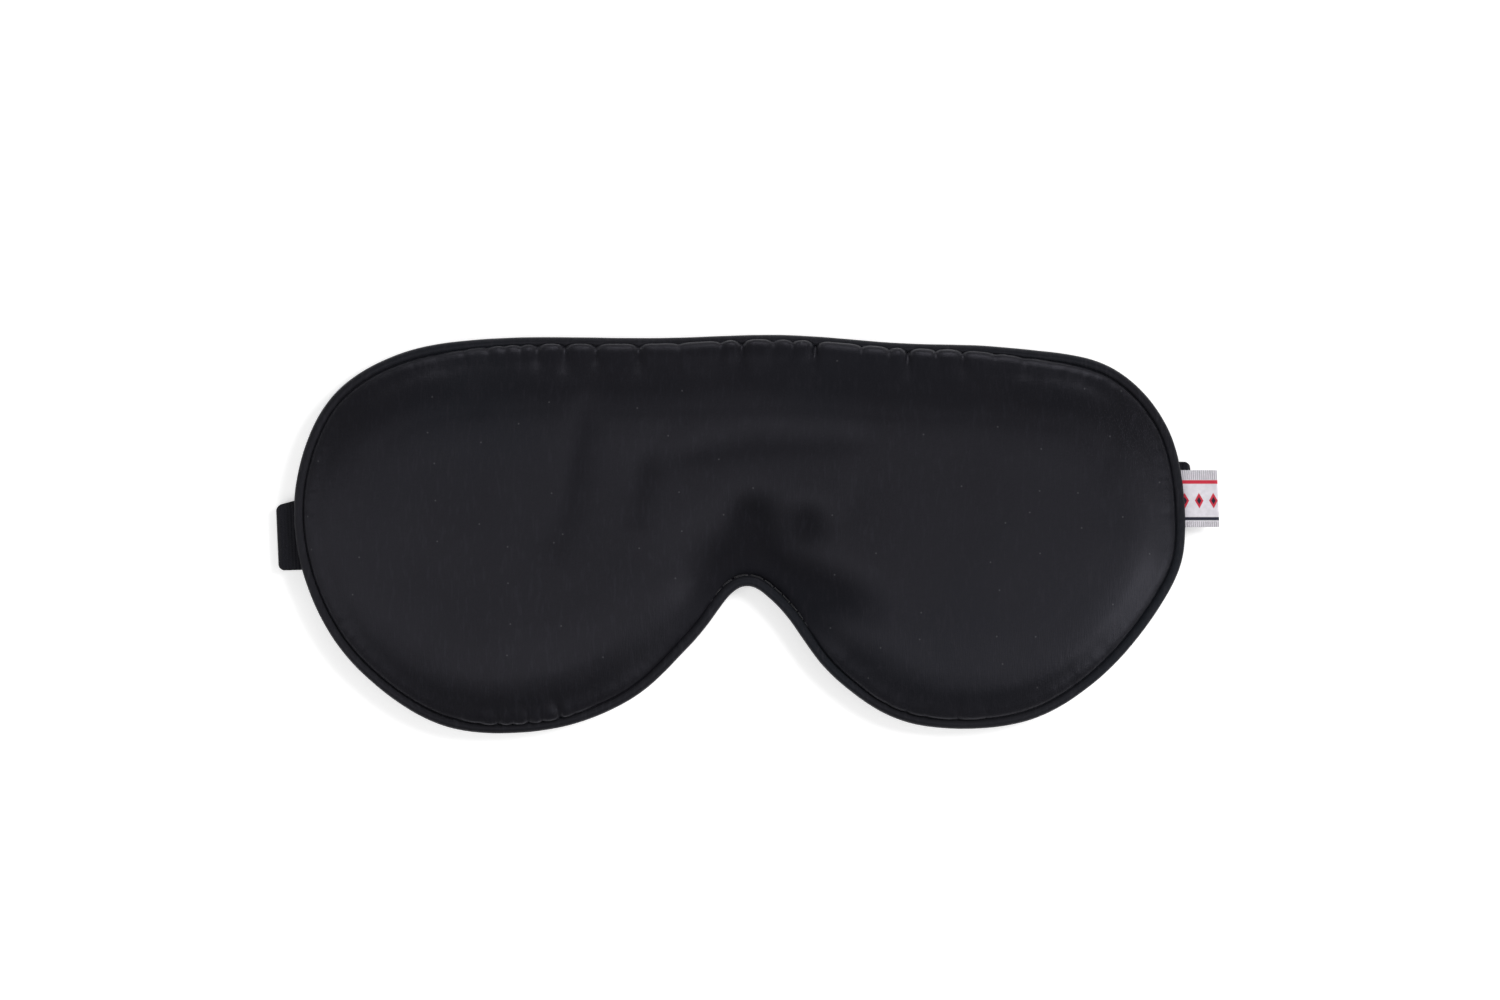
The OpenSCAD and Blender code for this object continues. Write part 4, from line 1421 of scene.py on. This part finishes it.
def floor_material(colour):
    """A pale floor that keeps the shadow and shows white to the camera, and is open from below."""
    m = Nodes("floor", colour, 0.9)
    ray = m.add("ShaderNodeLightPath").outputs
    mirrored = m.maths("MAXIMUM", ray["Is Glossy Ray"], ray["Is Transmission Ray"])
    seen = m.maths("MAXIMUM", ray["Is Camera Ray"], mirrored)
    glow = m.shader_of("ShaderNodeEmission", WHITE, m.maths("MULTIPLY", seen, FLOOR_GLOW))
    top = m.shader_of("ShaderNodeAddShader", m.shader.outputs[0], glow)
    beneath = m.add("ShaderNodeNewGeometry").outputs["Backfacing"]
    sides = m.shader_of("ShaderNodeMixShader", beneath, top, m.shader_of("ShaderNodeBsdfTransparent"))
    m.fill(m.tree.nodes["Material Output"], [("Surface", sides)])
    return m.material


def area_light(name, place, size, power):
    """A round softbox that faces the middle of the floor and isn't seen itself."""
    light = bpy.data.lights.new(name, "AREA")
    light.shape = "DISK"
    light.size = size
    light.energy = power
    obj = add_object(name, light)
    obj.location = place
    obj.rotation_euler = (-Vector(place)).to_track_quat("-Z", "Y").to_euler()
    obj.visible_camera = False
    return obj


# Where the camera's middle is from feature_origin(), in millimetres
CAMERA_OFFSET = (2.48, 0.1)


def camera_above(width):
    """A camera straight above that takes in width metres at the level of the seam."""
    data = bpy.data.cameras.new("camera")
    data.lens = 100.0
    obj = add_object("camera", data)
    distance = width * data.lens / data.sensor_width
    middle = (feature_origin() + CAMERA_OFFSET) * MM
    obj.location = (middle[0], middle[1], SEAM_Z * MM + distance)
    bpy.context.scene.camera = obj


# ---- what a user can change ----

def measure(name, description, default):
    return FloatProperty(name=name, description=description, default=default, min=0.0)


def tint(name, description, default):
    return FloatVectorProperty(name=name, description=description, default=default, subtype="COLOR",
                               size=3, min=0.0, max=1.0)


def strength(name, description, default, **unit):
    return FloatProperty(name=name, description=description, default=default, **unit)


class MaskSizes(bpy.types.PropertyGroup):
    """Sizes in millimetres, and the stuffing's pressure."""
    grid_step: measure("Mesh step", "Distance between points inside a panel, in millimetres", 1.1)
    gather_depth: measure("Gather depth", "Depth of the deepest gathers at the seam, in millimetres", 0.9)
    pressure: measure("Pressure", "How hard the stuffing presses on the cloth as it settles", 4.0)


class MaskColours(bpy.types.PropertyGroup):
    """Colours, as linear values."""
    satin: tint("Satin", "Satin of both panels", (0.0042, 0.0042, 0.0056))
    piping: tint("Piping", "Satin of the piped edge", (0.0095, 0.0095, 0.0115))
    elastic: tint("Elastic", "Elastic strap and tab", (0.006, 0.006, 0.0092))
    plastic: tint("Plastic", "Slider and ring", (0.010, 0.010, 0.012))
    thread: tint("Thread", "Sewing thread", (0.012, 0.012, 0.015))
    wadding: tint("Wadding", "Filling and piping cord", (0.75, 0.75, 0.72))
    lining: tint("Lining", "Blackout lining", (0.010, 0.010, 0.012))
    white: tint("Label white", "Ground of the label", (0.80, 0.77, 0.83))
    red: tint("Label red", "Upper line of the label", (0.60, 0.02, 0.05))
    navy: tint("Label navy", "Lower line of the label", (0.008, 0.01, 0.025))


class MaskStage(bpy.types.PropertyGroup):
    """Floor, lights and camera."""
    floor: tint("Floor", "Colour of the floor", (0.86, 0.86, 0.86))
    key: strength("Key light", "Power of the main light", 9.0, unit="POWER")
    fill: strength("Fill light", "Power of the fill light", 4.0, unit="POWER")
    right_sheen: strength("Right sheen", "Power of the right softbox", 0.1, unit="POWER")
    left_sheen: strength("Left sheen", "Power of the left softbox", 0.3, unit="POWER")
    ambient: strength("Ambient", "Strength of the surrounding light", 1.0)
    view_width: strength("View width", "Width that the camera takes in", 0.3572, unit="LENGTH")


BUILDERS = [
    SLEEPMASK_OT_front, SLEEPMASK_OT_back, SLEEPMASK_OT_inside, SLEEPMASK_OT_piping, SLEEPMASK_OT_straps,
    SLEEPMASK_OT_hardware, SLEEPMASK_OT_stitches, SLEEPMASK_OT_label, SLEEPMASK_OT_stage,
]


class SLEEPMASK_PT_panel(bpy.types.Panel):
    """Lists the builders"""
    bl_idname = "SLEEPMASK_PT_panel"
    bl_label = "Sleep mask"
    bl_space_type = "VIEW_3D"
    bl_region_type = "UI"
    bl_category = "Sleep mask"

    def draw(self, context):
        for builder in BUILDERS:
            self.layout.operator(builder.bl_idname)
        for group in (context.scene.mask_sizes, context.scene.mask_colours, context.scene.mask_stage):
            column = self.layout.column()
            for key in group.bl_rna.properties.keys():
                if key not in ("rna_type", "name"):
                    column.prop(group, key)


GROUPS = {"mask_sizes": MaskSizes, "mask_colours": MaskColours, "mask_stage": MaskStage}
CLASSES = [*GROUPS.values(), *BUILDERS, SLEEPMASK_PT_panel]


def register():
    for kind in CLASSES:
        bpy.utils.register_class(kind)
    for key, group in GROUPS.items():
        setattr(bpy.types.Scene, key, PointerProperty(type=group))


def unregister():
    for key in GROUPS:
        delattr(bpy.types.Scene, key)
    for kind in reversed(CLASSES):
        bpy.utils.unregister_class(kind)


def main():
    register()
    for builder in BUILDERS:
        group, name = builder.bl_idname.split(".")
        if getattr(getattr(bpy.ops, group), name)() != {"FINISHED"}:
            raise RuntimeError(f"{builder.bl_label} wasn't built")


if __name__ == "__main__":
    main()
